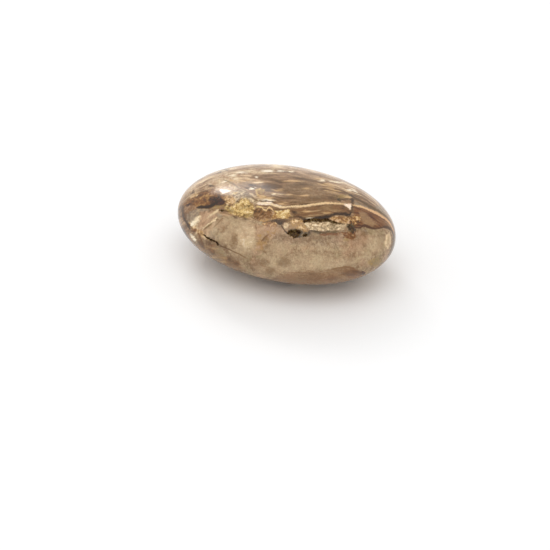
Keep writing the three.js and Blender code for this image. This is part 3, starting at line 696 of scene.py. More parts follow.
SEAMS: tuple[Seam, ...] = (
    Seam("cream vein", (Tone.IVORY, Tone.CREAM), (
        (-9, 5.6), (-7, 5.65), (-5, 5.5), (-3, 4.9), (-1, 4.5), (0.5, 4.55), (2, 4.7), (5, 4.8),
        (8, 5.2), (11, 5.65), (13, 5.75), (15.5, 5.6), (18, 5.35),
    ), ((-8.8, 0), (-7.5, 0.12), (-5, 0.16), (-3.8, 0.24), (-1, 0.28), (0.6, 0.2), (2, 0.26),
        (4, 0.3), (7, 0.3), (11, 0.32), (14, 0.26), (16.5, 0.18), (18, 0)), soft=0.3, sheet=True),
    Seam("peach vein", (Tone.CREAM, Tone.PEACH), (
        (19.5, 5.2), (21, 5), (22.4, 4.7), (24, 4.1), (26, 3.25), (28, 2.2), (29.5, 1.2),
        (30.7, 0.1), (31.6, -1.4), (32.4, -3.6),
    ), ((19.6, 0), (21, 0.22), (22.6, 0.3), (25, 0.32), (28, 0.36), (30, 0.36), (31.4, 0.3),
        (32.2, 0.1))),
    Seam("dark vein", (Tone.BARK, Tone.OLIVE), (
        (19, 8), (21, 7.1), (22.5, 6.3), (24, 5.35), (25.5, 4.5), (27, 3.7), (28.4, 2.9),
        (29.6, 2), (31, 0.6),
    ), ((19.2, 0), (20.4, 0.24), (23, 0.3), (25, 0.3), (27.5, 0.26), (30.6, 0.1))),
    Seam("shadow of the band", (Tone.BARK_DARK, Tone.BARK_DARK), (
        (4.4, 1.2), (5.6, 0.9), (7.7, 1.3), (10.2, 1.25), (12.6, 1.7), (14, 2.2), (15.1, 2.5),
        (17, 2.45), (18.4, 2.3), (19.6, 2.8),
    ), ((4.5, 0), (5.6, 0.3), (6.6, 0.12), (7.8, 0.14), (8.8, 0.4), (10.2, 0.7), (12, 0.6),
        (14, 0.36), (17, 0.45), (19.2, 0.4), (19.6, 0)), soft=0.6, sway=1.1),
    Seam("edge of the left cap", (Tone.BARK_DARK, Tone.BARK_DARK), (
        (-27, 4.1), (-25.5, 4.4), (-23.8, 4.4), (-22.4, 4.7), (-21.4, 5.2), (-20.6, 5.9),
    ), ((-26.8, 0), (-25.6, 0.4), (-23.4, 0.5), (-22, 0.6), (-21, 0.5), (-20.4, 0)), soft=0.4),
    Seam("golden rim", (Tone.STRAW, Tone.CREAM), (
        (-9.2, 4.4), (-8, 4.6), (-7.1, 4.3), (-6.4, 3.7), (-5.8, 3.55), (-5, 4.3), (-4.3, 4),
        (-3.7, 3.3), (-3.3, 2.6),
    ), ((-9.1, 0), (-8, 0.2), (-6, 0.24), (-4.4, 0.26), (-3.4, 0)), soft=0.2),
    Seam("russet hem", (Tone.MAROON, Tone.BARK), (
        (20.2, -1.5), (22, -1.6), (23.2, -0.9), (24.4, -1.2), (26, -1.7), (28, -1.6), (29.6, -1.3),
        (31, -1.8), (31.8, -3), (32.2, -4.6),
    ), ((20.4, 0.2), (22.4, 0.3), (24, 0.42), (25.5, 0.36), (28, 0.22), (30.4, 0.4), (31.8, 0.4),
        (32.2, 0.2)), soft=0.3),
    Seam("fold line", (Tone.SMOKE, Tone.COCOA), (
        (-12.4, 8.7), (-11.2, 8), (-10, 7.3), (-8.8, 6.6), (-7.8, 6.2),
    ), ((-12.3, 0), (-11, 0.3), (-9.4, 0.36), (-8, 0)), soft=0.35),
    Seam("upper fold line", (Tone.GREIGE, Tone.SMOKE), (
        (-19.4, 12.8), (-17.5, 12.2), (-15.6, 11.3), (-14.2, 10.3), (-13.2, 9.2),
    ), ((-19.2, 0), (-17, 0.24), (-14.6, 0.28), (-13.4, 0)), soft=0.3, cover=0.8),
    Seam("underline of the vug", (Tone.BARK_DARK, Tone.OLIVE), (
        (6, -2.7), (8, -2.6), (9.4, -2.85), (10.8, -3.05), (12.4, -2.8), (14.4, -2.75), (16.4, -2.95),
    ), ((6.1, 0), (7.4, 0.34), (9.6, 0.42), (11.4, 0.26), (13.6, 0.3), (16.3, 0)),
        soft=0.4, sway=1.3, cover=0.9),
    Seam("stem of the dark pocket", (Tone.BARK, Tone.BARK_DARK), (
        (-1.4, -1), (-0.8, -1.7), (-0.2, -2.6), (0.5, -3.2),
    ), ((-1.3, 0.3), (-0.6, 0.3), (0.4, 0.3)), soft=0.4, cover=0.9),
    Seam("white streak", (Tone.MILK, Tone.IVORY), (
        (-2.4, 0), (-1, 0.08), (0.2, -0.08), (1.2, 0), (2.3, 0.08),
    ), ((-2.3, 0), (-1.2, 0.62), (0.2, 0.66), (1.2, 0.44), (2.2, 0)),
        turn=49, origin=(-26.7, 0.4), soft=0.7, sway=1.1),
    Seam("cream slash", (Tone.CLOUD, Tone.IVORY), (
        (-2.6, 0), (-1.2, 0.1), (0.4, 0), (2.2, -0.1), (4, 0.1),
    ), ((-2.5, 0), (-1.4, 0.22), (0.6, 0.3), (2.6, 0.26), (3.8, 0)),
        turn=40, origin=(-23.2, -1), soft=0.25),
    Seam("dark slash", (Tone.COCOA, Tone.OLIVE), (
        (-2, 0), (-0.8, 0.06), (0.8, 0), (1.8, 0.05),
    ), ((-1.9, 0), (-1, 0.18), (0.6, 0.22), (1.7, 0)),
        turn=42, origin=(-23.1, -1.3), soft=0.35, cover=0.85),
    Seam("pale slash", (Tone.CLOUD, Tone.IVORY), (
        (-2.6, 0), (-1, 0.08), (0.8, 0), (2.5, 0.1),
    ), ((-2.5, 0), (-1.2, 0.24), (1, 0.3), (2.4, 0)),
        turn=37, origin=(-21.6, 2.4), soft=0.4, cover=0.85),
    Seam("plum thread", (Tone.MAROON, Tone.RUSSET), (
        (-7.4, -5.8), (-6.8, -5.2), (-6.2, -4.5), (-5.6, -4), (-4.8, -3.5),
    ), ((-7.4, 0), (-6.8, 0.22), (-5.8, 0.26), (-4.8, 0)), soft=0.4, cover=0.7),
    Seam("smoke line", (Tone.GREIGE, Tone.COCOA), (
        (-22, -2), (-21, -1.2), (-20, -0.2), (-19.2, 0.7), (-18.2, 1.4),
    ), ((-21.9, 0), (-21, 0.2), (-19.6, 0.24), (-18.4, 0)), soft=0.3, cover=0.7),
    Seam("healed crack", (Tone.BARK, Tone.COCOA), (
        (-20.2, -6.5), (-18.6, -7.4), (-17, -8), (-15.6, -8.7), (-14, -9.4), (-12.4, -10.3),
        (-11, -10.9),
    ), ((-20.1, 0.14), (-18.4, 0.2), (-15.6, 0.18), (-13, 0.16), (-11, 0)), soft=0.25, cover=0.9),
    Seam("ochre run", (Tone.RUST, Tone.BARK), (
        (-2.8, 0), (-1.2, 0.2), (0.6, 0.1), (3.2, 0),
    ), ((-2.7, 0), (-1, 0.4), (1, 0.36), (3.1, 0)),
        turn=-66, origin=(-25.2, -5.6), soft=0.5, cover=0.85),
    Seam("belly line", (Tone.COCOA, Tone.RUSSET), (
        (11, -14.4), (13, -14.1), (15, -13.7), (18, -13.3), (19.6, -13.5), (21.2, -14.3),
    ), ((11, 0), (13, 0.14), (16, 0.24), (19, 0.3), (21, 0)), soft=0.35, cover=0.8),
    # The three rim lines are painted reflection: the dark line just inside each end of the outline, where
    # the polish would mirror dark surroundings.
    Seam("left rim line", (Tone.BARK_DARK, Tone.BARK), (
        (-2.4, -1), (-1.1, -0.5), (0.4, 0.4), (1.4, 0.95), (2.4, 1.15), (3.7, 1.2), (5.2, 1.1),
    ), ((-2.3, 0), (-1.2, 0.4), (0.2, 0.42), (1.6, 0.32), (4, 0.28), (5.1, 0)),
        turn=90, origin=(-29.4, 0), soft=0.4, cover=0.9, sway=0.5),
    Seam("lower left rim line", (Tone.BARK_DARK, Tone.BARK), (
        (-7.4, -2.4), (-6, -1.2), (-4.6, -0.2), (-3.4, 0.6), (-2.2, 1.2), (-1, 1.7),
    ), ((-7.3, 0), (-6, 0.3), (-4.4, 0.4), (-3, 0.36), (-1, 0)),
        turn=90, origin=(-29.4, 0), soft=0.3, cover=0.9, sway=0.4),
    # Painted reflection, as the two rim lines above.
    Seam("right rim line", (Tone.OLIVE, Tone.BARK), (
        (-11, 0.6), (-9, -0.6), (-7.4, -1.3), (-5.6, -1.75), (-4, -1.75), (-2.6, -1.2),
    ), ((-10.6, 0), (-9, 0.24), (-7, 0.26), (-4.4, 0.24), (-2.8, 0)),
        turn=90, origin=(30.4, 0), soft=0.3, cover=0.8),
)


@dataclass(frozen=True)
class Hollow:
    """A natural pocket that the polish laid open, in millimetres.

    Attributes:
        name: What a collector would call it.
        outline: Its rim on the face chart.
        depth: How deep it is under its upper lip.
        wall: Width over which its side falls away.
        ramp: Share of the depth that is lost towards its lower lip.
        far_end: Share of the depth that is left at its right end.
        undercut: How far it reaches up under its upper lip, per depth.
        crystal: Height of the druse on its floor.
        pale_floor: Whether that druse shows pale out of the lip's painted shade; if not, its whole floor
            is painted dark as shade.
        lip_fall: How soon its floor falls away from the lower lip.
        end_fall: The same from its right end.
        shade: How far the painted shade of its upper lip reaches over the floor, in walls and what is
            added to that.
        dawn: How far off the painted shade's edge the floor grows pale, on both sides of it.
    """

    name: str
    outline: Points
    depth: float
    wall: float = 0.4
    ramp: float = 0.0
    far_end: float = 1.0
    undercut: float = 0.0
    crystal: float = 0.0
    pale_floor: bool = False
    lip_fall: float = 1.15
    end_fall: float = 2.2
    shade: Span = (0.9, 0.35)
    dawn: Span = (0.3, 0.4)

    def rim(self, u: Array, v: Array) -> Array:
        """Returns how far in from the rim places lie, in millimetres."""
        return inside(self.outline, u, v)

    def sink(self, u: Array, v: Array) -> Array:
        """Works out how deep the pocket is.

        Args:
            u: Places along the face chart.
            v: Places up the chart.

        Returns:
            Its depth there in millimetres, and 0 outside it.
        """
        heights = [point[1] for point in self.outline]
        rise = (v - min(heights)) / (max(heights) - min(heights))
        slope = 1 - self.ramp * (1 - smooth(rise * self.lip_fall))
        return self.depth * smooth(self.rim(u, v) / self.wall) * slope * self.open(u)

    def open(self, u: Array) -> Array:
        """Works out how open the pocket is along its length.

        Args:
            u: Places along the face chart.

        Returns:
            The share of its depth that it has there.
        """
        reach = [point[0] for point in self.outline]
        close = smooth((max(reach) - u) / (max(reach) - min(reach)) * self.end_fall)
        return self.far_end + (1 - self.far_end) * close

    def pale(self, u: Array, v: Array) -> Array:
        """Works out where the floor's druse is pale, which is out of the lip's painted shade.

        Args:
            u: Places along the face chart.
            v: Places up the chart.

        Returns:
            How pale it is there, from 0 to 1.
        """
        shift = (self.shade[0] * self.wall + self.shade[1]) * self.open(u)
        lit = smooth((self.rim(u, v + shift) + self.dawn[0]) / sum(self.dawn))
        return lit * self.pale_floor


@dataclass(frozen=True)
class Fissure:
    """An open crack, in millimetres.

    Attributes:
        name: What a collector would call it.
        path: Points of its middle on the face chart, in order from left to right.
        widths: Half widths, at places along it.
        depth: How deep it is.
        undercut: The same as a hollow's.
        crystal: Height of its druse.
        thinnest: Least half width.
    """

    name: str
    path: Points
    widths: Points
    depth: float
    undercut: float = 0.0
    crystal: float = 0.0
    thinnest: float = 0.05

    def rim(self, u: Array, v: Array) -> Array:
        """Measures how far in from the rim places lie.

        Args:
            u: Places along the face chart.
            v: Places up the chart.

        Returns:
            The distance in millimetres, above 0 in the crack.
        """
        within = (u > self.path[0][0]) & (u < self.path[-1][0])
        apart = np.abs(v - through(self.path, u))
        return np.where(within, through(self.widths, u) - apart, -1.0)

    def sink(self, u: Array, v: Array) -> Array:
        """Returns how deep the crack is at places, in millimetres."""
        half = np.maximum(through(self.widths, u), self.thinnest)
        return self.depth * smooth(self.rim(u, v) / half)

    def pale(self, u: Array, v: Array) -> Array:
        """Returns how pale its floor is; it is painted dark all along, as shade in the crack."""
        return np.zeros(len(u))


HOLLOWS: tuple[Hollow | Fissure, ...] = (
    Hollow("long vug", (
        (5, 0.6), (6, 1.1), (8.4, 1.4), (10.6, 1.2), (12.6, 1.4), (13.6, 0.9), (15.2, 0.4),
        (17.2, 0), (19.2, -0.4), (20, -1.2), (19.6, -2.2), (18, -2.6), (16.2, -2.4), (14, -2.5),
        (12, -2.5), (10.4, -2.9), (8.8, -2.6), (7.2, -2.4), (6.2, -1.7), (5.4, -0.6),
    ), depth=1, wall=0.45, ramp=0.8, far_end=0.1, undercut=0.2, crystal=0.12, pale_floor=True),
    Hollow("dark pocket", (
        (0, -3.1), (0.8, -2.3), (2, -2), (3.5, -2), (4.5, -2.4), (4.6, -3.2), (3.9, -4.2),
        (2.9, -4.9), (2.3, -5.1), (1.8, -4.4), (0.9, -3.9), (0.2, -3.6),
    ), depth=1.2, wall=0.7, ramp=0.3, undercut=0.1, crystal=0.3),
    Hollow("olive pocket", (
        (5, -3.5), (6.4, -3.2), (6.6, -3.6), (6.2, -4.3), (5.5, -4.5), (5, -4.1),
    ), depth=0.9, wall=0.4, ramp=0.2, crystal=0.1),
    Hollow("notch", (
        (18.2, -0.4), (19.4, -0.5), (20.4, -1.4), (20.7, -2.8), (20, -3.6), (18.9, -2.9),
        (18.4, -1.6),
    ), depth=0.5, wall=0.7, crystal=0.15),
    Hollow("little pit", (
        (-19.7, 3.3), (-19, 4), (-18.2, 3.7), (-18.3, 3.1), (-19.2, 3),
    ), depth=0.8, wall=0.35, crystal=0.08),
    Fissure("open fissure", (
        (-24.8, -3.6), (-23.6, -4.5), (-22.6, -5.15), (-21.6, -5.6), (-20.9, -5.95),
        (-20.4, -6.4), (-19.8, -7.1),
    ), ((-24.8, 0), (-24.2, 0.36), (-23, 0.46), (-22, 0.42), (-21.2, 0.3), (-20.5, 0.6),
        (-20.1, 0.45), (-19.8, 0)), depth=0.9),
)


@dataclass
class Pebble:
    """The smooth oval of the stone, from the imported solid's own box.

    Attributes:
        low: Lowest corner of the solid, in metres.
        high: Highest corner, in metres.
        plan_power: 2 is an ellipse seen from above, and more is squarer.
        profile_power: The same for the section through the middle.
        width_taper: Share of the width gained at the +X end.
        height_taper: Share of the height gained at the +X end.
        flat_depth: What is ground off the belly, in millimetres.
        flat_blend: How far the flat spot's soft edge reaches, in height.
        halves: Half sizes of the whole oval, in millimetres.
    """

    low: Vector
    high: Vector
    plan_power: float = 2.05
    profile_power: float = 2.1
    width_taper: float = -0.02
    height_taper: float = 0.042
    flat_depth: float = 0.4
    flat_blend: float = 0.15
    halves: Array = field(init=False)

    def __post_init__(self) -> None:
        """Works out the half sizes of the whole oval, before its belly is ground."""
        length, width, height = (self.high - self.low) / MM
        self.halves = np.array([length / 2, width / 2, (height + self.flat_depth) / 2])

    @property
    def girdle(self) -> float:
        """The height of the widest section above the base, in millimetres."""
        return float(self.halves[2]) - self.flat_depth

    @property
    def centre(self) -> Vector:
        """The middle of the solid's box, in metres."""
        return (self.low + self.high) / 2

    @property
    def centre_mm(self) -> Array:
        """The middle of the solid's box, in millimetres."""
        return np.array(self.centre) / MM

    def skin(self, ways: Array) -> Array:
        """Carries directions to the polished skin.

        Args:
            ways: Rows of unit directions from the middle.

        Returns:
            Rows of x, y and z in millimetres.
        """
        size = np.abs(ways)
        plan = size[:, 0] ** self.plan_power + size[:, 1] ** self.plan_power
        level = plan ** (self.profile_power / self.plan_power) + size[:, 2] ** self.profile_power
        points = ways * self.halves * (level ** (-1 / self.profile_power))[:, None]
        along = points[:, 0] / self.halves[0]
        points[:, 1] *= 1 + self.width_taper * along
        height = self.girdle + points[:, 2] * (1 + self.height_taper * along)
        near = np.maximum(self.flat_blend - np.abs(height), 0)
        points[:, 2] = np.maximum(height, 0) + near**2 / (4 * self.flat_blend)
        low, high = points.min(axis=0), points.max(axis=0)
        box_low, box_high = np.array(self.low) / MM, np.array(self.high) / MM
        return box_low + (points - low) * (box_high - box_low) / (high - low)

    def outward(self, ways: Array) -> Array:
        """Works out the skin's outward directions.

        Args:
            ways: Rows of unit directions from the middle.

        Returns:
            Rows of unit vectors, square to the skin.
        """
        step, pole = 1e-3, 0.9
        helper = np.where(np.abs(ways[:, 2:]) < pole, [[0.0, 0.0, 1.0]], [[1.0, 0.0, 0.0]])
        first = np.cross(ways, helper)
        first /= np.linalg.norm(first, axis=1)[:, None]
        second = np.cross(ways, first)
        sides = []
        for side in (first, second):
            ahead, behind = ways + side * step, ways - side * step
            ahead /= np.linalg.norm(ahead, axis=1)[:, None]
            behind /= np.linalg.norm(behind, axis=1)[:, None]
            sides.append(self.skin(ahead) - self.skin(behind))
        out = np.cross(sides[0], sides[1])
        out /= np.linalg.norm(out, axis=1)[:, None]
        return np.where((out * ways).sum(axis=1)[:, None] < 0, -out, out)


@dataclass(frozen=True)
class Druse:
    """The crust of small quartz points in the vugs, in millimetres.

    Attributes:
        pitch: Distance between crystals.
        radius: Half width of a middling crystal.
        girth: Shares of that for a crystal of no height, and gained up to the tallest.
        sides: Faces of a crystal.
        scatter: How far a crystal stands off its row, per pitch.
        shortest: Height of the shortest crystal, as a share of the tallest.
        lean: How far crystals lean, at most.
        tilt: How much a lean tips the faces.
        reach: How far out a crystal is looked for.
        margin: How far the rows of crystals go past the places asked for.
        seed: Start of its random numbers.
    """

    pitch: float = 0.42
    radius: float = 0.34
    girth: Span = (0.7, 0.6)
    sides: int = 6
    scatter: float = 0.45
    shortest: float = 0.45
    lean: float = 0.5
    tilt: float = 0.6
    reach: float = 0.8
    margin: float = 1.0
    seed: int = SEED

    def heights(self, u: Array, v: Array) -> Array:
        """Stands six-sided points close together.

        Args:
            u: Places along the face chart, in millimetres.
            v: Places up the chart.

        Returns:
            The height of the crystal faces at each place, from 0 to 1.
        """
        rng = np.random.default_rng(self.seed)
        us, vs = np.meshgrid(*(
            np.arange(way.min() - self.margin, way.max() + self.margin, self.pitch) for way in (u, v)
        ))
        seats = np.stack([us.ravel(), vs.ravel()], axis=1)
        seats += rng.uniform(-self.scatter, self.scatter, seats.shape) * self.pitch
        step = 2 * math.pi / self.sides
        turns = rng.uniform(0, step, len(seats))
        peaks = rng.uniform(self.shortest, 1.0, len(seats))
        leans = rng.uniform(-self.lean, self.lean, seats.shape)
        heights = np.zeros(len(u))
        for seat, turn, peak, lean in zip(seats, turns, peaks, leans):
            near = np.flatnonzero((np.abs(u - seat[0]) < self.reach) & (np.abs(v - seat[1]) < self.reach))
            if not len(near):
                continue
            du, dv = u[near] - seat[0], v[near] - seat[1]
            side = np.zeros(len(near))
            for k in range(self.sides):
                angle = turn + k * step
                side = np.maximum(side, du * math.cos(angle) + dv * math.sin(angle))
            face = peak * (1 - side / (self.radius * (self.girth[0] + self.girth[1] * peak)))
            face += (du * lean[0] + dv * lean[1]) * self.tilt
            heights[near] = np.maximum(heights[near], face)
        return np.clip(heights, 0, 1)


class Graph:
    """Places and joins the nodes of one shader tree."""

    ROWS = 12
    PITCH = (180, -160)

    def __init__(self, tree: bpy.types.NodeTree) -> None:
        """Empties the tree.

        Args:
            tree: Where the nodes go.
        """
        self.tree = tree
        self.tree.nodes.clear()
        self.count = 0

    def node(self, kind: str, **settings: object) -> bpy.types.Node:
        """Adds a node.

        Args:
            kind: Its type, without the word ShaderNode.
            settings: Properties to set on it.

        Returns:
            The new node.
        """
        made = self.tree.nodes.new(kind if kind.startswith("Node") else "ShaderNode" + kind)
        for name, value in settings.items():
            setattr(made, name, value)
        column, row = divmod(self.count, self.ROWS)
        made.location = (self.PITCH[0] * column, self.PITCH[1] * row)
        self.count += 1
        return made

    def feed(self, socket: Socket, value: object) -> None:
        """Joins a socket to another, or sets it to a plain value.

        Args:
            socket: An input.
            value: An output to join it to, or a number, a vector or a colour.
        """
        if isinstance(value, Socket):
            self.tree.links.new(value, socket)
        elif value is not None:
            socket.default_value = value

    def result(self, kind: str, values: tuple[object, ...], **settings: object) -> Socket:
        """Adds a node and feeds its inputs in order.

        Args:
            kind: Its type.
            values: What the inputs get, None for one that stays as it is.
            settings: Properties to set on it.

        Returns:
            Its first output.
        """
        made = self.node(kind, **settings)
        for socket, value in zip(made.inputs, values):
            self.feed(socket, value)
        return made.outputs[0]

    def math(self, operation: str, *values: object, clamp: bool = False) -> Socket:
        """Returns the result of a Math node."""
        return self.result("Math", values, operation=operation, use_clamp=clamp)

    def vector_math(self, operation: str, *values: object) -> Socket:
        """Returns the result of a Vector Math node."""
        return self.result("VectorMath", values, operation=operation)

    def blend(self, share: object, under: object, over: object, mode: str = "MIX") -> Socket:
        """Lays one colour over another.

        Args:
            share: How much of the upper colour shows.
            under: The colour below.
            over: The colour above.
            mode: How they blend.

        Returns:
            The blended colour.
        """
        made = self.node("Mix", data_type="RGBA", blend_type=mode)
        for name, value in (("Factor_Float", share), ("A_Color", under), ("B_Color", over)):
            socket = next(s for s in made.inputs if s.identifier == name)
            self.feed(socket, value)
        return next(s for s in made.outputs if s.identifier == "Result_Color")

    def reading(self, name: str, part: str = "Fac") -> Socket:
        """Reads what the mesh carries at its points: a number, or the part called Vector."""
        return self.node("Attribute", attribute_name=name).outputs[part]

    def noise(self, vector: object, scale: float, detail: float = 2.0, rough: float = 0.5) -> Socket:
        """Adds smooth noise.

        Args:
            vector: Where it is read.
            scale: Its features for each unit of the vector.
            detail: How many finer layers it has.
            rough: How strong they are.

        Returns:
            Its value, which is about 0.5.
        """
        made = self.node("TexNoise")
        self.feed(made.inputs["Vector"], vector)
        for name, value in (("Scale", scale), ("Detail", detail), ("Roughness", rough)):
            made.inputs[name].default_value = value
        return made.outputs["Fac"]

    def stretched(self, vector: object, scale: Scale, detail: float, rough: float = 0.5) -> Socket:
        """Returns smooth noise with its own number of features for each unit along each axis."""
        return self.noise(self.vector_math("MULTIPLY", vector, scale), 1.0, detail, rough)

    def range(self, value: object, ends: Span, to: Span = (0, 1)) -> Socket:
        """Maps a value to two new numbers, eased and held.

        Args:
            value: The value.
            ends: Where it starts and ends.
            to: What it has there.

        Returns:
            The new value.
        """
        made = self.node("MapRange", interpolation_type="SMOOTHSTEP")
        self.feed(made.inputs["Value"], value)
        for name, number in zip(("From Min", "From Max", "To Min", "To Max"), (*ends, *to)):
            made.inputs[name].default_value = number
        return made.outputs["Result"]

    def ramp(self, value: object, stops: Stops) -> Socket:
        """Reads a colour from a row of tones.

        Args:
            value: Where it is read, from 0 to 1.
            stops: The tones, each with its place.

        Returns:
            The colour.
        """
        made = self.node("ValToRGB")
        row = made.color_ramp.elements
        while len(row) < len(stops):
            row.new(0.5)
        for element, (place, tone) in zip(row, stops):
            element.position = place
            element.color = tone.linear()
        self.feed(made.inputs["Fac"], value)
        return made.outputs["Color"]

    def curve(self, value: object, path: Points) -> Socket:
        """Reads a smooth line through points that run from 0 to 1 both ways.

        Args:
            value: Where it is read, from 0 to 1.
            path: The points.

        Returns:
            The line's height there.
        """
        made = self.node("FloatCurve")
        row = made.mapping.curves[0].points
        while len(row) < len(path):
            row.new(0.5, 0.5)
        for point, place in zip(row, path):
            point.location = place
            point.handle_type = "AUTO_CLAMPED"
        made.mapping.update()
        self.feed(made.inputs["Value"], value)
        return made.outputs[0]

    def group(self, tree: bpy.types.NodeTree, **values: object) -> bpy.types.Node:
        """Places a node group.

        Args:
            tree: The group.
            values: What its inputs get, by name.

        Returns:
            The node.
        """
        made = self.node("Group", node_tree=tree)
        for name, value in values.items():
            self.feed(made.inputs[name], value)
        return made


def new_group(
    name: str, inputs: tuple[str, ...], outputs: tuple[str, ...]
) -> tuple[Graph, dict[str, Socket], dict[str, Socket]]:
    """Starts a node group; names that end in _vector are vectors.

    Args:
        name: The group's name.
        inputs: Names of its inputs.
        outputs: Names of its outputs.

    Returns:
        Its graph, and what comes in and what goes out, by name.
    """
    tree = bpy.data.node_groups.new(name, "ShaderNodeTree")
    for names, way in ((inputs, "INPUT"), (outputs, "OUTPUT")):
        for each in names:
            kind = "NodeSocketVector" if each.endswith("_vector") else "NodeSocketFloat"
            tree.interface.new_socket(name=each, in_out=way, socket_type=kind)
    graph = Graph(tree)
    source, sink = graph.node("NodeGroupInput"), graph.node("NodeGroupOutput")
    comes_in = {each: source.outputs[each] for each in inputs}
    return graph, comes_in, {each: sink.inputs[each] for each in outputs}


@dataclass(frozen=True)
class StoneGrain:
    """The stone's grains, as noise with so many features a millimetre. Lengths are in millimetres.

    Attributes:
        middling: The stretch of plain noise that is drawn out from 0 to 1.
        warp: The wave that bends the beds.
        warp_height: How far it bends them.
        broad: The broad beds, and after them those between and the thin ones.
        bed_shares: What the middle, broad and thin beds add to the streaks.
        clouds: The broadest grain, and after it spots, fibre and the finest.
        mottle_shares: What spots and clouds add to the mottle.
        grit_shares: What spots, clouds, fibre and the finest add to the body's grit.
        cells: Crumbs for each millimetre.
        stir: What shakes the crumbs out of round.
        stir_reach: How far it shakes them.
        crumb: How pale a crumb is in its middle, and how far it darkens outwards.
        crumb_tint: How much paler one crumb is than the next.
        crumb_grain: How much of the finest grain a crumb shows.
        wander: What frays the markings' edges.
        blush: The rosy patches.
        blush_ends: Where in that noise they start and end.
        gold: The golden patches, with their ends and how they are stretched.
    """

    middling: Span = (0.38, 0.62)
    warp: Scale = (0.12, 0.3, 0.12)
    warp_height: float = 1.3
    broad: Scale = (0.06, 0.55, 0.06)
    middle: Scale = (0.15, 1.3, 0.15)
    thin: Scale = (0.4, 3.0, 0.4)
    bed_shares: Shares = (0.48, 0.3, 0.22)
    clouds: float = 0.22
    spots: float = 1.1
    fibre: Scale = (1.9, 1.0, 1.9)
    fine: float = 3.2
    mottle_shares: Shares = (0.6, 0.4)
    grit_shares: Shares = (0.34, 0.28, 0.26, 0.12)
    cells: float = 0.95
    stir: float = 1.6
    stir_reach: float = 1.2
    crumb: Span = (0.9, -1.3)
    crumb_tint: float = 0.45
    crumb_grain: float = 1.6
    wander: float = 0.9
    blush: float = 0.35
    blush_ends: Span = (0.45, 0.68)
    gold: float = 0.42
    gold_ends: Span = (0.48, 0.68)
    gold_stretch: Scale = (1.0, 1.3, 1.1)

    def mixed(self, graph: Graph, parts: tuple[tuple[Socket, float], ...]) -> Socket:
        """Adds shares of several noises.

        Args:
            graph: Where it is worked out.
            parts: The noises and their shares.

        Returns:
            Their sum.
        """
        (first, share), *others = parts
        total = graph.math("MULTIPLY", first, share)
        for noise_value, share in others:
            total = graph.math("MULTIPLY_ADD", noise_value, share, total)
        return total

    def crumbs(self, graph: Graph, face: Socket, fine: Socket) -> Socket:
        """Crowds mossy crumbs together, each with a shade of its own.

        Args:
            graph: Where it is worked out.
            face: The face chart.
            fine: The finest grain.

        Returns:
            How pale they are, from 0 to 1.
        """
        stir = graph.node("TexNoise")
        graph.feed(stir.inputs["Vector"], face)
        stir.inputs["Scale"].default_value = self.stir
        shaken = graph.vector_math("MULTIPLY_ADD", stir.outputs["Color"], (self.stir_reach,) * 3, face)
        cells = graph.node("TexVoronoi", feature="F1")
        graph.feed(cells.inputs["Vector"], shaken)
        cells.inputs["Scale"].default_value = self.cells
        tints = graph.node("SeparateColor")
        graph.feed(tints.inputs[0], cells.outputs["Color"])
        lump = graph.math("MULTIPLY_ADD", cells.outputs["Distance"], self.crumb[1], self.crumb[0])
        lump = graph.math("MULTIPLY_ADD", tints.outputs[0], self.crumb_tint, lump)
        off = graph.math("SUBTRACT", fine, 0.5)
        return graph.math("MULTIPLY_ADD", off, self.crumb_grain, lump, clamp=True)

    def tree(self) -> bpy.types.NodeTree:
        """Builds the group.

        Returns:
            Its tree.
        """
        graph, ins, outs = new_group(
            "stone_grain", ("Bed_vector", "Face_vector"),
            ("Streaks", "Mottle", "Crumbs", "Fine", "Wander", "Drift", "Blush", "Gold", "Grit"),
        )
        bed, face = ins["Bed_vector"], ins["Face_vector"]
        wave = graph.math("MULTIPLY", graph.stretched(face, self.warp, 3.0), self.warp_height)
        layers = graph.vector_math("ADD", bed, graph.result("CombineXYZ", (None, wave)))
        broad = graph.stretched(layers, self.broad, 2.0)
        middle = graph.stretched(layers, self.middle, 3.0, 0.6)
        thin = graph.stretched(layers, self.thin, 2.0, 0.6)
        clouds = graph.noise(face, self.clouds, 3.0, 0.6)
        spots = graph.noise(face, self.spots, 4.0, 0.62)
        fine = graph.noise(face, self.fine, 3.0, 0.6)
        fibre = graph.stretched(face, self.fibre, 3.0, 0.6)
        streaks = self.mixed(graph, tuple(zip((middle, broad, thin), self.bed_shares)))
        mottle = self.mixed(graph, tuple(zip((spots, clouds), self.mottle_shares)))
        grit = self.mixed(graph, tuple(zip((spots, clouds, fibre, fine), self.grit_shares)))
        gold = graph.vector_math("MULTIPLY", face, self.gold_stretch)
        made = {
            "Streaks": graph.range(streaks, self.middling),
            "Drift": graph.math("SUBTRACT", thin, 0.5),
            "Mottle": graph.range(mottle, self.middling),
            "Grit": graph.range(grit, self.middling),
            "Crumbs": self.crumbs(graph, face, fine),
            "Fine": fine,
            "Wander": graph.math("SUBTRACT", graph.noise(face, self.wander, 4.0, 0.65), 0.5),
            "Blush": graph.range(graph.noise(face, self.blush, 4.0, 0.65), self.blush_ends),
            "Gold": graph.range(graph.noise(gold, self.gold, 4.0, 0.65), self.gold_ends),
        }
        for name, value in made.items():
            graph.feed(outs[name], value)
        return graph.tree


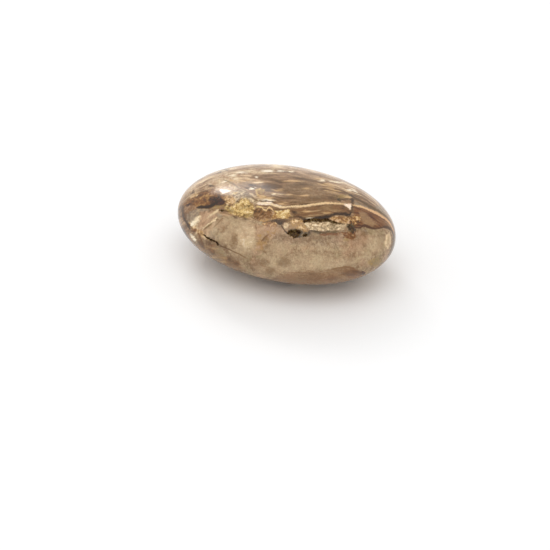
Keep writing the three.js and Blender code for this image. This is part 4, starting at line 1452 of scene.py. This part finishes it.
@dataclass(frozen=True)
class SoftEdge:
    """The soft, ragged edges of markings and seams.

    Attributes:
        fray: How far an edge wanders for each unit of its raggedness.
        nibble: The same for the finest grain along a seam.
        thinnest: Half width at which a seam fades out, in millimetres.
    """

    fray: float = 4.0
    nibble: float = 0.9
    thinnest: float = 0.08

    def marking(self) -> bpy.types.NodeTree:
        """Builds the mask of a marking from its depth in millimetres.

        Returns:
            The group.
        """
        graph, ins, outs = new_group(
            "ragged_edge", ("Depth", "Wander", "Ragged", "Soft", "Cover"), ("Mask",)
        )
        reach = graph.math("MULTIPLY", ins["Ragged"], self.fray)
        moved = graph.math("MULTIPLY_ADD", ins["Wander"], reach, ins["Depth"])
        share = graph.math("ADD", graph.math("DIVIDE", moved, ins["Soft"]), 0.5)
        graph.feed(outs["Mask"], graph.math("MULTIPLY", graph.range(share, (0, 1)), ins["Cover"]))
        return graph.tree

    def seam(self) -> bpy.types.NodeTree:
        """Builds the mask of a vein from the distance off its middle and its half width.

        Returns:
            The group.
        """
        graph, ins, outs = new_group(
            "seam", ("Across", "Half", "Wander", "Fine", "Sway", "Soft", "Cover"), ("Mask",)
        )
        off = graph.math("ABSOLUTE", graph.math("MULTIPLY_ADD", ins["Wander"], ins["Sway"], ins["Across"]))
        fine = graph.math("SUBTRACT", ins["Fine"], 0.5)
        rough = graph.math("MULTIPLY", fine, graph.math("MULTIPLY", ins["Sway"], self.nibble))
        depth = graph.math("SUBTRACT", graph.math("ADD", rough, ins["Half"]), off)
        share = graph.math("ADD", graph.math("DIVIDE", depth, ins["Soft"]), 0.5, clamp=True)
        there = graph.math("DIVIDE", ins["Half"], self.thinnest, clamp=True)
        shown = graph.math("MULTIPLY", graph.math("MULTIPLY", share, there), ins["Cover"])
        graph.feed(outs["Mask"], shown)
        return graph.tree


@dataclass(frozen=True)
class Patch:
    """A tone that comes and goes over the body in soft patches, as smooth noise has it."""

    tone: Tone
    stretch: Scale
    scale: float
    ends: Span
    strength: float = 0.6


@dataclass(frozen=True)
class PolishedJasper:
    """The stone's finish: bedded jasper over chalcedony, under a high polish.

    Attributes:
        roughness: Of the polished skin.
        rough_druse: Of the crystal crust.
        rough_crumbs: What pale crumbs add to it.
        relief: Height of the polish's own unevenness, in metres.
        bump: Strength of that relief.
        refraction: Quartz's index of refraction.
        specular: Strength of its mirror.
        depth: Share of each tone's light that the wet-looking polish leaves.
        deepen: How much more it deepens dark tones than pale ones, above 1.
        speckle: How far the finest grain lightens and darkens the stone.
        speckle_ends: Where in that grain it starts and ends.
        ghost: How much of the pattern below shows in a marking.
        pattern_shift: What is taken off a marking's pattern to make up for that.
        warmth: What it leaves of red, green and blue.
        blush: What the rosy patches leave of them.
        blush_share: Strength of the rosy patches.
        gold: What the golden patches leave of them.
        gold_share: Strength of the golden patches.
        body: Tones of the chalcedony.
        patches: What comes and goes over it.
        bed_tones: Tones of the jasper's beds.
        bed_top: Height of the bedding at which bed_light ends, in millimetres.
        bed_light: How pale the beds are along that height, both from 0 to 1.
        bed_contrast: How far their streaks are paler or darker than that.
        bed_edge: Width and raggedness of their foot, in millimetres.
        painted_shade_floor: Tones painted in a hollow as shade, under its upper lip and all over the dark
            pockets and the crack.
        pale_floor: Tones of the druse in the light.
        lit_ends: Where the druse turns from painted shade to its own pale tones.
        floor_ends: Depths in millimetres from which a hollow's colours start and are whole.
        dull_ends: The same for its roughness.
    """

    roughness: float = 0.16
    rough_druse: float = 0.42
    rough_crumbs: float = 0.06
    relief: float = 0.00002
    bump: float = 0.5
    refraction: float = 1.54
    specular: float = 0.35
    depth: float = 0.97
    deepen: float = 1.22
    speckle: float = 0.12
    speckle_ends: Span = (0.3, 0.7)
    ghost: float = 0.15
    pattern_shift: float = -0.05
    warmth: Scale = (1.0, 0.975, 0.92)
    blush: Colour = (1.0, 0.93, 0.9, 1.0)
    blush_share: float = 0.5
    gold: Colour = (0.99, 0.98, 0.8, 1.0)
    gold_share: float = 0.22
    body: Stops = ((0.0, Tone.COCOA), (0.25, Tone.TAUPE_DEEP), (0.6, Tone.TAUPE), (1.0, Tone.TAUPE_PALE))
    patches: tuple[Patch, ...] = (
        Patch(Tone.BLUSH, stretch=(1.0, 1.0, 1.0), scale=0.16, ends=(0.46, 0.66)),
        Patch(Tone.SAGE, stretch=(1.1, 1.0, 0.9), scale=0.21, ends=(0.52, 0.68)),
    )
    bed_tones: Stops = (
        (0.0, Tone.BARK_DARK), (0.16, Tone.BARK), (0.34, Tone.COCOA), (0.5, Tone.MAUVE),
        (0.66, Tone.FAWN), (0.83, Tone.SHELL), (1.0, Tone.IVORY),
    )
    bed_top: float = 20.0
    bed_light: Points = (
        (0.0, 0.5), (0.2, 0.42), (0.27, 0.42), (0.34, 0.46), (0.42, 0.42), (0.5, 0.46), (0.6, 0.5),
        (0.7, 0.58), (0.8, 0.7), (1.0, 0.72),
    )
    bed_contrast: float = 0.62
    bed_edge: Span = (0.5, 0.5)
    # Painted shade: the dark tones of a hollow under its lip, and of the dark pockets and the crack.
    painted_shade_floor: Stops = ((0.0, Tone.BARK_DARK), (0.4, Tone.BARK), (0.75, Tone.OLIVE), (1.0, Tone.GREIGE))
    pale_floor: Stops = ((0.0, Tone.GREIGE), (0.3, Tone.PEARL), (0.65, Tone.IVORY), (1.0, Tone.MILK))
    lit_ends: Span = (0.15, 0.6)
    floor_ends: Span = (0.06, 0.3)
    dull_ends: Span = (0.03, 0.2)

    def material(self) -> bpy.types.Material:
        """Builds the material.

        Returns:
            The material, with every marking and seam in it.
        """
        made = bpy.data.materials.new(SLOT)
        made.use_nodes = True
        JasperTree(self, Graph(made.node_tree)).build()
        return made


class JasperTree:
    """The nodes of the finish; each layer is laid over the colour of those before it."""

    def __init__(self, finish: PolishedJasper, graph: Graph) -> None:
        """Reads what the layers share.

        Args:
            finish: The values that it is built from.
            graph: The material's own tree.
        """
        self.finish, self.graph = finish, graph
        edges = SoftEdge()
        self.edge, self.seam = edges.marking(), edges.seam()
        self.face = graph.reading("face_chart", "Vector")
        parts = graph.node("SeparateXYZ")
        graph.feed(parts.inputs[0], self.face)
        self.along, self.up, near = parts.outputs
        bed = graph.result("CombineXYZ", (self.along, graph.reading("bedding"), near))
        self.grain = graph.group(StoneGrain().tree(), Bed_vector=bed, Face_vector=self.face).outputs
        self.facing, self.off_rim = graph.reading("facing"), graph.reading("off_rim")
        self.colour = self.body()

    def build(self) -> None:
        """Lays every layer over the last, and ends in the polished shader."""
        self.lay_beds()
        for marking in MARKINGS:
            self.lay_marking(marking)
        for vein in SEAMS:
            self.lay_seam(vein)
        self.line_hollows()
        self.polish()
        self.surface()

    def body(self) -> Socket:
        """Mottles the chalcedony body in taupe, blush and sage.

        Returns:
            Its colour.
        """
        graph = self.graph
        colour = graph.ramp(self.grain["Grit"], self.finish.body)
        for patch in self.finish.patches:
            place = graph.vector_math("MULTIPLY", self.face, patch.stretch)
            clouds = graph.noise(place, patch.scale, 3.0, 0.6)
            share = graph.range(clouds, patch.ends, (0, patch.strength))
            colour = graph.blend(share, colour, patch.tone.linear())
        return colour

    def lay(self, share: Socket, colour: Socket) -> None:
        """Lays a colour over what is there, with its share of it."""
        self.colour = self.graph.blend(share, self.colour, colour)

    def lay_beds(self) -> None:
        """Lays the banded jasper over the body, above its foot wall."""
        graph, finish = self.graph, self.finish
        height = graph.math("DIVIDE", graph.reading("bedding"), finish.bed_top, clamp=True)
        level = graph.curve(height, finish.bed_light)
        off = graph.math("SUBTRACT", self.grain["Streaks"], 0.5)
        swing = graph.math("MULTIPLY", off, finish.bed_contrast)
        colour = graph.ramp(graph.math("ADD", level, swing, clamp=True), finish.bed_tones)
        soft, ragged = finish.bed_edge
        mask = graph.group(
            self.edge, Depth=graph.reading("cap"), Wander=self.grain["Wander"],
            Ragged=ragged, Soft=soft, Cover=1.0,
        )
        self.lay(mask.outputs[0], colour)

    def lay_marking(self, marking: Marking) -> None:
        """Lays one marking over what is there.

        The colour below shifts the marking's pattern a little. So Cycles never holds
        the values of all layers at the same time, which it hasn't the room for.

        Args:
            marking: The marking.
        """
        graph = self.graph
        pattern = graph.math("ADD", self.grain[marking.grain.value], self.finish.pattern_shift)
        share = graph.math("MULTIPLY_ADD", self.colour, self.finish.ghost, pattern)
        last = len(marking.tones) - 1
        colour = graph.ramp(share, tuple((i / last, tone) for i, tone in enumerate(marking.tones[::-1])))
        stir = "Drift" if marking.grain is Grain.STREAKS else "Wander"
        mask = graph.group(
            self.edge, Depth=graph.reading(marking.name), Wander=self.grain[stir],
            Ragged=marking.ragged, Soft=marking.soft, Cover=marking.cover,
        )
        self.lay(graph.math("MULTIPLY", mask.outputs[0], self.off_rim), colour)

    def run_and_rise(self, vein: Seam) -> tuple[Socket, Socket]:
        """Reads the chart along a seam's own axes.

        Args:
            vein: The seam.

        Returns:
            How far each place lies along it and across it, in millimetres.
        """
        if not vein.turn:
            return self.along, self.up
        graph = self.graph
        (run_u, run_v), (rise_u, rise_v) = vein.axes()
        run = graph.math("MULTIPLY_ADD", self.up, run_v, graph.math("MULTIPLY", self.along, run_u))
        rise = graph.math("MULTIPLY_ADD", self.along, rise_u, graph.math("MULTIPLY", self.up, rise_v))
        return run, rise

    def lay_seam(self, vein: Seam) -> None:
        """Lays one seam over what is there.

        Args:
            vein: The seam.
        """
        graph = self.graph
        run, rise = self.run_and_rise(vein)
        start, base = (float(np.dot(vein.origin, axis)) for axis in vein.axes())
        first, last = vein.path[0][0], vein.path[-1][0]
        span = last - first
        share = graph.math("MULTIPLY_ADD", run, 1 / span, -(start + first) / span)
        heights, widest = [v for _, v in vein.path], max(w for _, w in vein.widths)
        low = min(heights) - vein.room
        tall = max(heights) + vein.room - low
        middle = graph.curve(share, tuple(((u - first) / span, (v - low) / tall) for u, v in vein.path))
        centre = graph.math("MULTIPLY_ADD", middle, tall, low + base)
        half = graph.curve(share, tuple(
            (min(max((u - first) / span, 0), 1), w / widest) for u, w in vein.widths
        ))
        mask = graph.group(
            self.seam, Across=graph.math("SUBTRACT", rise, centre),
            Half=graph.math("MULTIPLY", half, widest),
            Wander=self.grain["Wander"], Fine=self.grain["Fine"],
            Sway=vein.sway, Soft=vein.soft, Cover=vein.cover,
        )
        mask.label = vein.name
        begun, unended = graph.math("GREATER_THAN", share, 0.0), graph.math("LESS_THAN", share, 1.0)
        shown = graph.math("MULTIPLY", mask.outputs[0], graph.math("MULTIPLY", begun, unended))
        if not vein.sheet:
            shown = graph.math("MULTIPLY", shown, self.facing)
        place = graph.math("MULTIPLY_ADD", self.colour, self.finish.ghost, share, clamp=True)
        self.lay(shown, graph.blend(place, vein.tones[0].linear(), vein.tones[1].linear()))

    def line_hollows(self) -> None:
        """Colours the vugs: painted shade under the upper lip and in the dark pockets, pale druse on the
        floor out of that shade.
        """
        graph, finish = self.graph, self.finish
        deep = graph.reading("hollow")
        # The druse reading is how far a floor lies out of the lip's painted shade: dark is that painted
        # shade, pale the druse's own colour.
        lit = graph.range(graph.reading("druse"), finish.lit_ends)
        dark = graph.ramp(self.grain["Crumbs"], finish.painted_shade_floor)
        pale = graph.ramp(self.grain["Mottle"], finish.pale_floor)
        self.lay(graph.range(deep, finish.floor_ends), graph.blend(lit, dark, pale))

    def polish(self) -> None:
        """Tints and deepens the colours, as a wet-looking polish does."""
        graph, finish = self.graph, self.finish
        light = ((1 - finish.speckle) * finish.depth, (1 + finish.speckle) * finish.depth)
        fine = graph.range(self.grain["Fine"], finish.speckle_ends, light)
        for name, share, tint in (
            ("Blush", finish.blush_share, finish.blush), ("Gold", finish.gold_share, finish.gold)
        ):
            strength = graph.math("MULTIPLY", self.grain[name], share)
            self.colour = graph.blend(strength, self.colour, tint, "MULTIPLY")
        warmed = tuple(graph.math("MULTIPLY", fine, part) for part in finish.warmth)
        warm = graph.result("CombineColor", warmed)
        warmer = graph.blend(1.0, self.colour, warm, "MULTIPLY")
        self.colour = graph.result("Gamma", (warmer, finish.deepen))

    def surface(self) -> None:
        """Ends the tree in a polished shader with a little relief."""
        graph, finish = self.graph, self.finish
        shader = graph.node("BsdfPrincipled")
        graph.feed(shader.inputs["Base Color"], self.colour)
        open_skin = graph.range(graph.reading("hollow"), finish.dull_ends)
        dull = graph.math("MULTIPLY_ADD", self.grain["Crumbs"], finish.rough_crumbs, finish.roughness)
        rough = graph.math("MULTIPLY_ADD", open_skin, finish.rough_druse - finish.roughness, dull)
        graph.feed(shader.inputs["Roughness"], rough)
        shader.inputs["IOR"].default_value = finish.refraction
        shader.inputs["Specular IOR Level"].default_value = finish.specular
        bump = graph.node("Bump")
        bump.inputs["Strength"].default_value = finish.bump
        bump.inputs["Distance"].default_value = finish.relief
        graph.feed(bump.inputs["Height"], self.grain["Fine"])
        graph.feed(shader.inputs["Normal"], bump.outputs[0])
        output = graph.node("OutputMaterial")
        graph.feed(output.inputs["Surface"], shader.outputs[0])


@dataclass(frozen=True)
class Ripple:
    """Smooth noise on the face chart, which makes the hollows ragged."""

    pitch: float
    level: float

    def at(self, u: Array, v: Array) -> Array:
        """Returns the noise at places on the chart, which is about 0."""
        places = zip(u * self.pitch, v * self.pitch)
        return np.array([noise.noise(Vector((a, b, self.level))) for a, b in places])


@dataclass
class PalmStone:
    """The stone itself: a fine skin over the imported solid, with its markings, in millimetres.

    Attributes:
        form: The oval.
        view: The viewpoint whose chart the markings are laid on.
        back_view: The same for the markings on the back.
        finish: The finish.
        druse: The crust in the vugs.
        ball_level: Splits of the ball that the skin starts from.
        marked_floor: How far below the foot wall the finer skin reaches.
        marked_facing: How much a place faces the view where the finer skin ends.
        rim_margin: How far out from a hollow's rim the finest skin reaches.
        rim_fade: How much a place faces the view where the face's markings are whole.
        thinnest_band: Least height of the bedded jasper.
        overshoot: How far above the crown the bedding goes on, as a share.
        fold_pitch: Folds of the bedding per millimetre, on the back.
        fold_height: How far they bend it.
        dip: How far the beds there dip, per millimetre away from the view.
        rim_back: How far behind the centre the upper rim lies.
        turn_over: How far round the rim the face's bedding reaches.
        back_crest: Height of the bedding's horizon behind the stone, at its middle.
        back_fall: How far it falls from there to its ends.
        broad_ripple: What bends a hollow's rim along the chart.
        fine_ripple: What bends it up the chart.
        ripple_reach: How far both bend it.
        uneven: How uneven a hollow's floor is, as a share of its depth.
        crust_start: How soon below the rim the crystals stand at full height.
        flat_from: Depth from which faces are left flat.
    """

    form: Pebble
    view: Viewpoint
    back_view: Viewpoint = Viewpoint(azimuth_deg=206.0, elevation_deg=15.0)
    finish: PolishedJasper = field(default_factory=PolishedJasper)
    druse: Druse = field(default_factory=Druse)
    ball_level: int = 7
    marked_floor: float = 1.5
    marked_facing: float = 0.05
    rim_margin: float = 0.35
    rim_fade: float = 0.1
    thinnest_band: float = 0.5
    overshoot: float = 1.3
    fold_pitch: float = 0.075
    fold_height: float = 4.0
    dip: float = 0.5
    rim_back: float = 9.5
    turn_over: float = 0.22
    back_crest: float = 5.2
    back_fall: float = 6.0
    broad_ripple: Ripple = Ripple(pitch=1.3, level=3.0)
    fine_ripple: Ripple = Ripple(pitch=3.1, level=9.0)
    ripple_reach: float = 0.35
    uneven: float = 0.25
    crust_start: float = 3.0
    flat_from: float = 0.1

    def chart(self, ways: Array) -> tuple[Array, Array, Array]:
        """Finds where directions meet the skin.

        Args:
            ways: Rows of unit directions.

        Returns:
            The points in millimetres, their chart and how much they face the view.
        """
        points = self.form.skin(ways)
        facing = self.form.outward(ways) @ np.array(self.view.axes()[2])
        return points, self.view.chart(points, self.form.centre_mm), facing

    def split(self, ball: bmesh.types.BMesh, chosen: Array) -> None:
        """Splits the edges whose two ends are chosen, and rounds the ball again.

        Args:
            ball: The ball.
            chosen: Whether each of its corners is chosen.
        """
        ball.verts.ensure_lookup_table()
        edges = [e for e in ball.edges if chosen[e.verts[0].index] and chosen[e.verts[1].index]]
        bmesh.ops.subdivide_edges(ball, edges=edges, cuts=1, use_grid_fill=True)
        bmesh.ops.triangulate(ball, faces=[f for f in ball.faces if len(f.verts) > 3])
        for corner in ball.verts:
            corner.co.normalize()
        ball.verts.index_update()

    def ways(self, ball: bmesh.types.BMesh) -> Array:
        """Returns the ball's corners as rows of unit directions."""
        rows = np.array([corner.co[:] for corner in ball.verts])
        return rows / np.linalg.norm(rows, axis=1)[:, None]

    def rim(self, chart: Array, facing: Array) -> Array:
        """Returns how far inside the nearest hollow each place lies, in millimetres."""
        depths = [hollow.rim(chart[:, 0], chart[:, 1]) for hollow in HOLLOWS]
        return np.where(facing > 0, np.max(depths, axis=0), -FAR_OUT)

    def ball(self) -> bmesh.types.BMesh:
        """Builds a ball of triangles, finer where it is marked and finest in the hollows.

        Returns:
            The ball, whose corners are directions from the stone's middle.
        """
        ball = bmesh.new()
        bmesh.ops.create_icosphere(ball, subdivisions=self.ball_level, radius=1)
        ball.verts.index_update()
        _, chart, facing = self.chart(self.ways(ball))
        floor = through(FOOTWALL, chart[:, 0]) - self.marked_floor
        near_rim = self.rim(chart, facing) > -2 * self.rim_margin
        self.split(ball, ((chart[:, 1] > floor) & (facing > self.marked_facing)) | near_rim)
        _, chart, facing = self.chart(self.ways(ball))
        self.split(ball, self.rim(chart, facing) > -self.rim_margin)
        return ball

    def mesh(self) -> bpy.types.Object:
        """Builds the skin, with its hollows and with what the finish reads.

        Returns:
            The skin, in the scene.
        """
        ball = self.ball()
        ways = self.ways(ball)
        mesh = bpy.data.meshes.new(NODE + "_skin")
        ball.to_mesh(mesh)
        ball.free()
        points, chart, facing = self.chart(ways)
        behind = self.back_view.chart(points, self.form.centre_mm)
        bedding, cap = self.beds(chart, facing)
        moved, hollow, lit = self.carve(ways, points, chart, facing)
        mesh.vertices.foreach_set("co", (moved * MM).astype(np.float32).ravel())
        # druse carries how far each vug floor lies out of the lip's painted shade, for the finish to paint
        # it dark or pale.
        readings = {
            "bedding": bedding, "cap": cap, "hollow": hollow, "druse": lit,
            "facing": smooth(facing / self.rim_fade), "off_rim": smooth(np.abs(facing) / self.rim_fade),
        }
        for marking in MARKINGS:
            readings[marking.name] = marking.depth_in(chart, behind, facing)
        for name, values in readings.items():
            layer = mesh.attributes.new(name, "FLOAT", "POINT")
            layer.data.foreach_set("value", np.clip(values, -FAR_OUT, FAR_OUT).astype(np.float32))
        layer = mesh.attributes.new("face_chart", "FLOAT_VECTOR", "POINT")
        layer.data.foreach_set("vector", chart.astype(np.float32).ravel())
        self.shade(mesh, hollow)
        return placed(NODE + "_skin", mesh)

    def beds(self, chart: Array, facing: Array) -> tuple[Array, Array]:
        """Measures each place's height in the bedding and above the foot wall.

        Args:
            chart: Rows of u, v and w.
            facing: How much each place faces the view.

        Returns:
            The height in the bedding, and the height above the foot wall.
        """
        u, v = chart[:, 0], chart[:, 1]
        horizon, crown = through(HORIZON, u), through(CROWN, u)
        share = (v - horizon) / np.maximum(crown - horizon, self.thinnest_band)
        level = HORIZON[len(HORIZON) // 2][1]
        above = level + BAND_HEIGHT * np.minimum(share, self.overshoot)
        face = np.where(v > horizon, above, level + v - horizon)
        folds = np.array([noise.noise(Vector(place) * self.fold_pitch) for place in chart])
        crest = self.back_crest - self.back_fall * (u / HORIZON[-1][0]) ** 2
        back = level + v - crest + self.fold_height * folds
        back += self.dip * (chart[:, 2] + self.rim_back)
        away = smooth(-facing / self.turn_over)
        return face + (back - face) * away, v - through(FOOTWALL, u)

    def carve(
        self, ways: Array, points: Array, chart: Array, facing: Array
    ) -> tuple[Array, Array, Array]:
        """Sinks the hollows into the skin and grows the druse in them.

        Args:
            ways: Rows of unit directions from the middle.
            points: The skin's points in millimetres.
            chart: Their places on the face chart.
            facing: How much they face the view.

        Returns:
            The points moved, how deep each is sunk, and how far its druse lies out of the lip's painted
            shade.
        """
        moved, sunk, lit = points.copy(), np.zeros(len(points)), np.zeros(len(points))
        up = np.array(self.view.axes()[1])
        out = self.form.outward(ways)
        for hollow in HOLLOWS:
            near = np.flatnonzero((hollow.rim(chart[:, 0], chart[:, 1]) > -1) & (facing > 0))
            u, v = chart[near, 0], chart[near, 1]
            broad, fine = self.broad_ripple.at(u, v), self.fine_ripple.at(u, v)
            u_at, v_at = u + self.ripple_reach * broad, v + self.ripple_reach * fine
            depth = hollow.sink(u_at, v_at)
            grown_in = smooth(depth / hollow.depth * self.crust_start)
            crust = self.druse.heights(u, v) * hollow.crystal * grown_in
            depth = np.maximum(depth * (1 + self.uneven * broad) - crust * np.minimum(1, depth), 0)
            rise = up - (out[near] @ up)[:, None] * out[near]
            moved[near] += rise * (hollow.undercut * depth)[:, None] - out[near] * depth[:, None]
            # lit: the floor's share out of the lip's painted shade.
            lit[near] = np.where(depth > sunk[near], hollow.pale(u_at, v_at), lit[near])
            sunk[near] = np.maximum(sunk[near], depth)
            LOG.info("%s: %.2f mm deep", hollow.name, depth.max())
        return moved, sunk, lit

    def shade(self, mesh: bpy.types.Mesh, hollow: Array) -> None:
        """Smooths the polished skin and leaves the druse's faces flat.

        Args:
            mesh: The skin, all triangles.
            hollow: How deep each of its points is sunk, in millimetres.
        """
        corners = np.empty(len(mesh.loops), np.int32)
        mesh.loops.foreach_get("vertex_index", corners)
        shallowest = hollow[corners.reshape(-1, 3)].min(axis=1)
        mesh.polygons.foreach_set("use_smooth", shallowest < self.flat_from)
        mesh.update()

    def dress(self) -> bpy.types.Object:
        """Gives the skin its finish and sets it in the frame.

        Returns:
            The dressed stone.
        """
        stone = self.mesh()
        stone.data.materials.append(self.finish.material())
        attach(stone, "root")
        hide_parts(NODE)
        return stone


@dataclass(frozen=True)
class Softbox:
    """A square softbox, placed by where it hangs as seen from the stone.

    Attributes:
        azimuth_deg: Its turn round the stone; 0 is on the side of -Y.
        elevation_deg: Its height above the horizon.
        distance: From the stone, in metres.
        side: Its side in metres.
        power: In watts.
    """

    azimuth_deg: float
    elevation_deg: float
    distance: float
    side: float
    power: float

    def hang(self, aim: Vector) -> bpy.types.Object:
        """Hangs the softbox so that it points at the stone.

        Args:
            aim: The stone's centre in metres.

        Returns:
            The light.
        """
        way = direction(self.azimuth_deg, self.elevation_deg)
        data = bpy.data.lights.new("softbox", "AREA")
        data.energy, data.size = self.power, self.side
        light = placed("softbox", data)
        light.location = aim + way * self.distance
        light.rotation_euler = (-way).to_track_quat("-Z", "Y").to_euler()
        return light


@dataclass(frozen=True)
class Studio:
    """A pale floor and soft light, as in the photograph of the stone.

    Attributes:
        floor_side: Side of the floor in metres.
        floor_tone: How much light it gives back.
        floor_rough: Its roughness.
        sky: Strength of the even light all round.
        softboxes: What hangs over the stone.
    """

    floor_side: float = 8.0
    floor_tone: float = 0.95
    floor_rough: float = 0.5
    sky: float = 0.85
    softboxes: tuple[Softbox, ...] = (
        Softbox(azimuth_deg=-135, elevation_deg=38, distance=0.9, side=0.3, power=0.8),
        Softbox(azimuth_deg=-128, elevation_deg=33, distance=0.9, side=0.1, power=0.3),
        Softbox(azimuth_deg=20, elevation_deg=70, distance=0.9, side=0.9, power=2.0),
    )

    def floor(self, height: float) -> bpy.types.Object:
        """Lays the floor.

        Args:
            height: Of the stone's base, in metres.

        Returns:
            The floor.
        """
        half = self.floor_side / 2
        corners = [(x * half, y * half, height) for x, y in ((-1, -1), (1, -1), (1, 1), (-1, 1))]
        mesh = bpy.data.meshes.new("floor")
        mesh.from_pydata(corners, [], [(0, 1, 2, 3)])
        material = bpy.data.materials.new("pale_floor")
        material.use_nodes = True
        graph = Graph(material.node_tree)
        shader = graph.node("BsdfPrincipled")
        shader.inputs["Base Color"].default_value = (self.floor_tone,) * 3 + (1.0,)
        shader.inputs["Roughness"].default_value = self.floor_rough
        output = graph.node("OutputMaterial")
        graph.feed(output.inputs["Surface"], shader.outputs[0])
        mesh.materials.append(material)
        floor = placed("floor", mesh)
        return floor

    def light(self, aim: Vector) -> None:
        """Lights the scene and sets plain colour management.

        Args:
            aim: The stone's centre in metres.
        """
        world = bpy.data.worlds.new("studio")
        bpy.context.scene.world = world
        world.use_nodes = True
        sky = world.node_tree.nodes["Background"]
        sky.inputs["Color"].default_value = (1, 1, 1, 1)
        sky.inputs["Strength"].default_value = self.sky
        for softbox in self.softboxes:
            softbox.hang(aim)
        bpy.context.scene.view_settings.view_transform = "Standard"
        bpy.context.scene.view_settings.look = "None"


def main() -> None:
    """Builds the stone and its studio."""
    logging.basicConfig(level=logging.INFO, format="%(message)s")
    view = Viewpoint()
    form = Pebble(*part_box(NODE))
    view.place_camera(form.centre)
    stone = PalmStone(form, view).dress()
    LOG.info("%s: %d triangles", stone.name, len(stone.data.polygons))
    studio = Studio()
    floor = studio.floor(form.low.z)
    studio.light(form.centre)
    LOG.info("%s laid at %.4f m", floor.name, form.low.z)


if __name__ == "__main__":
    main()
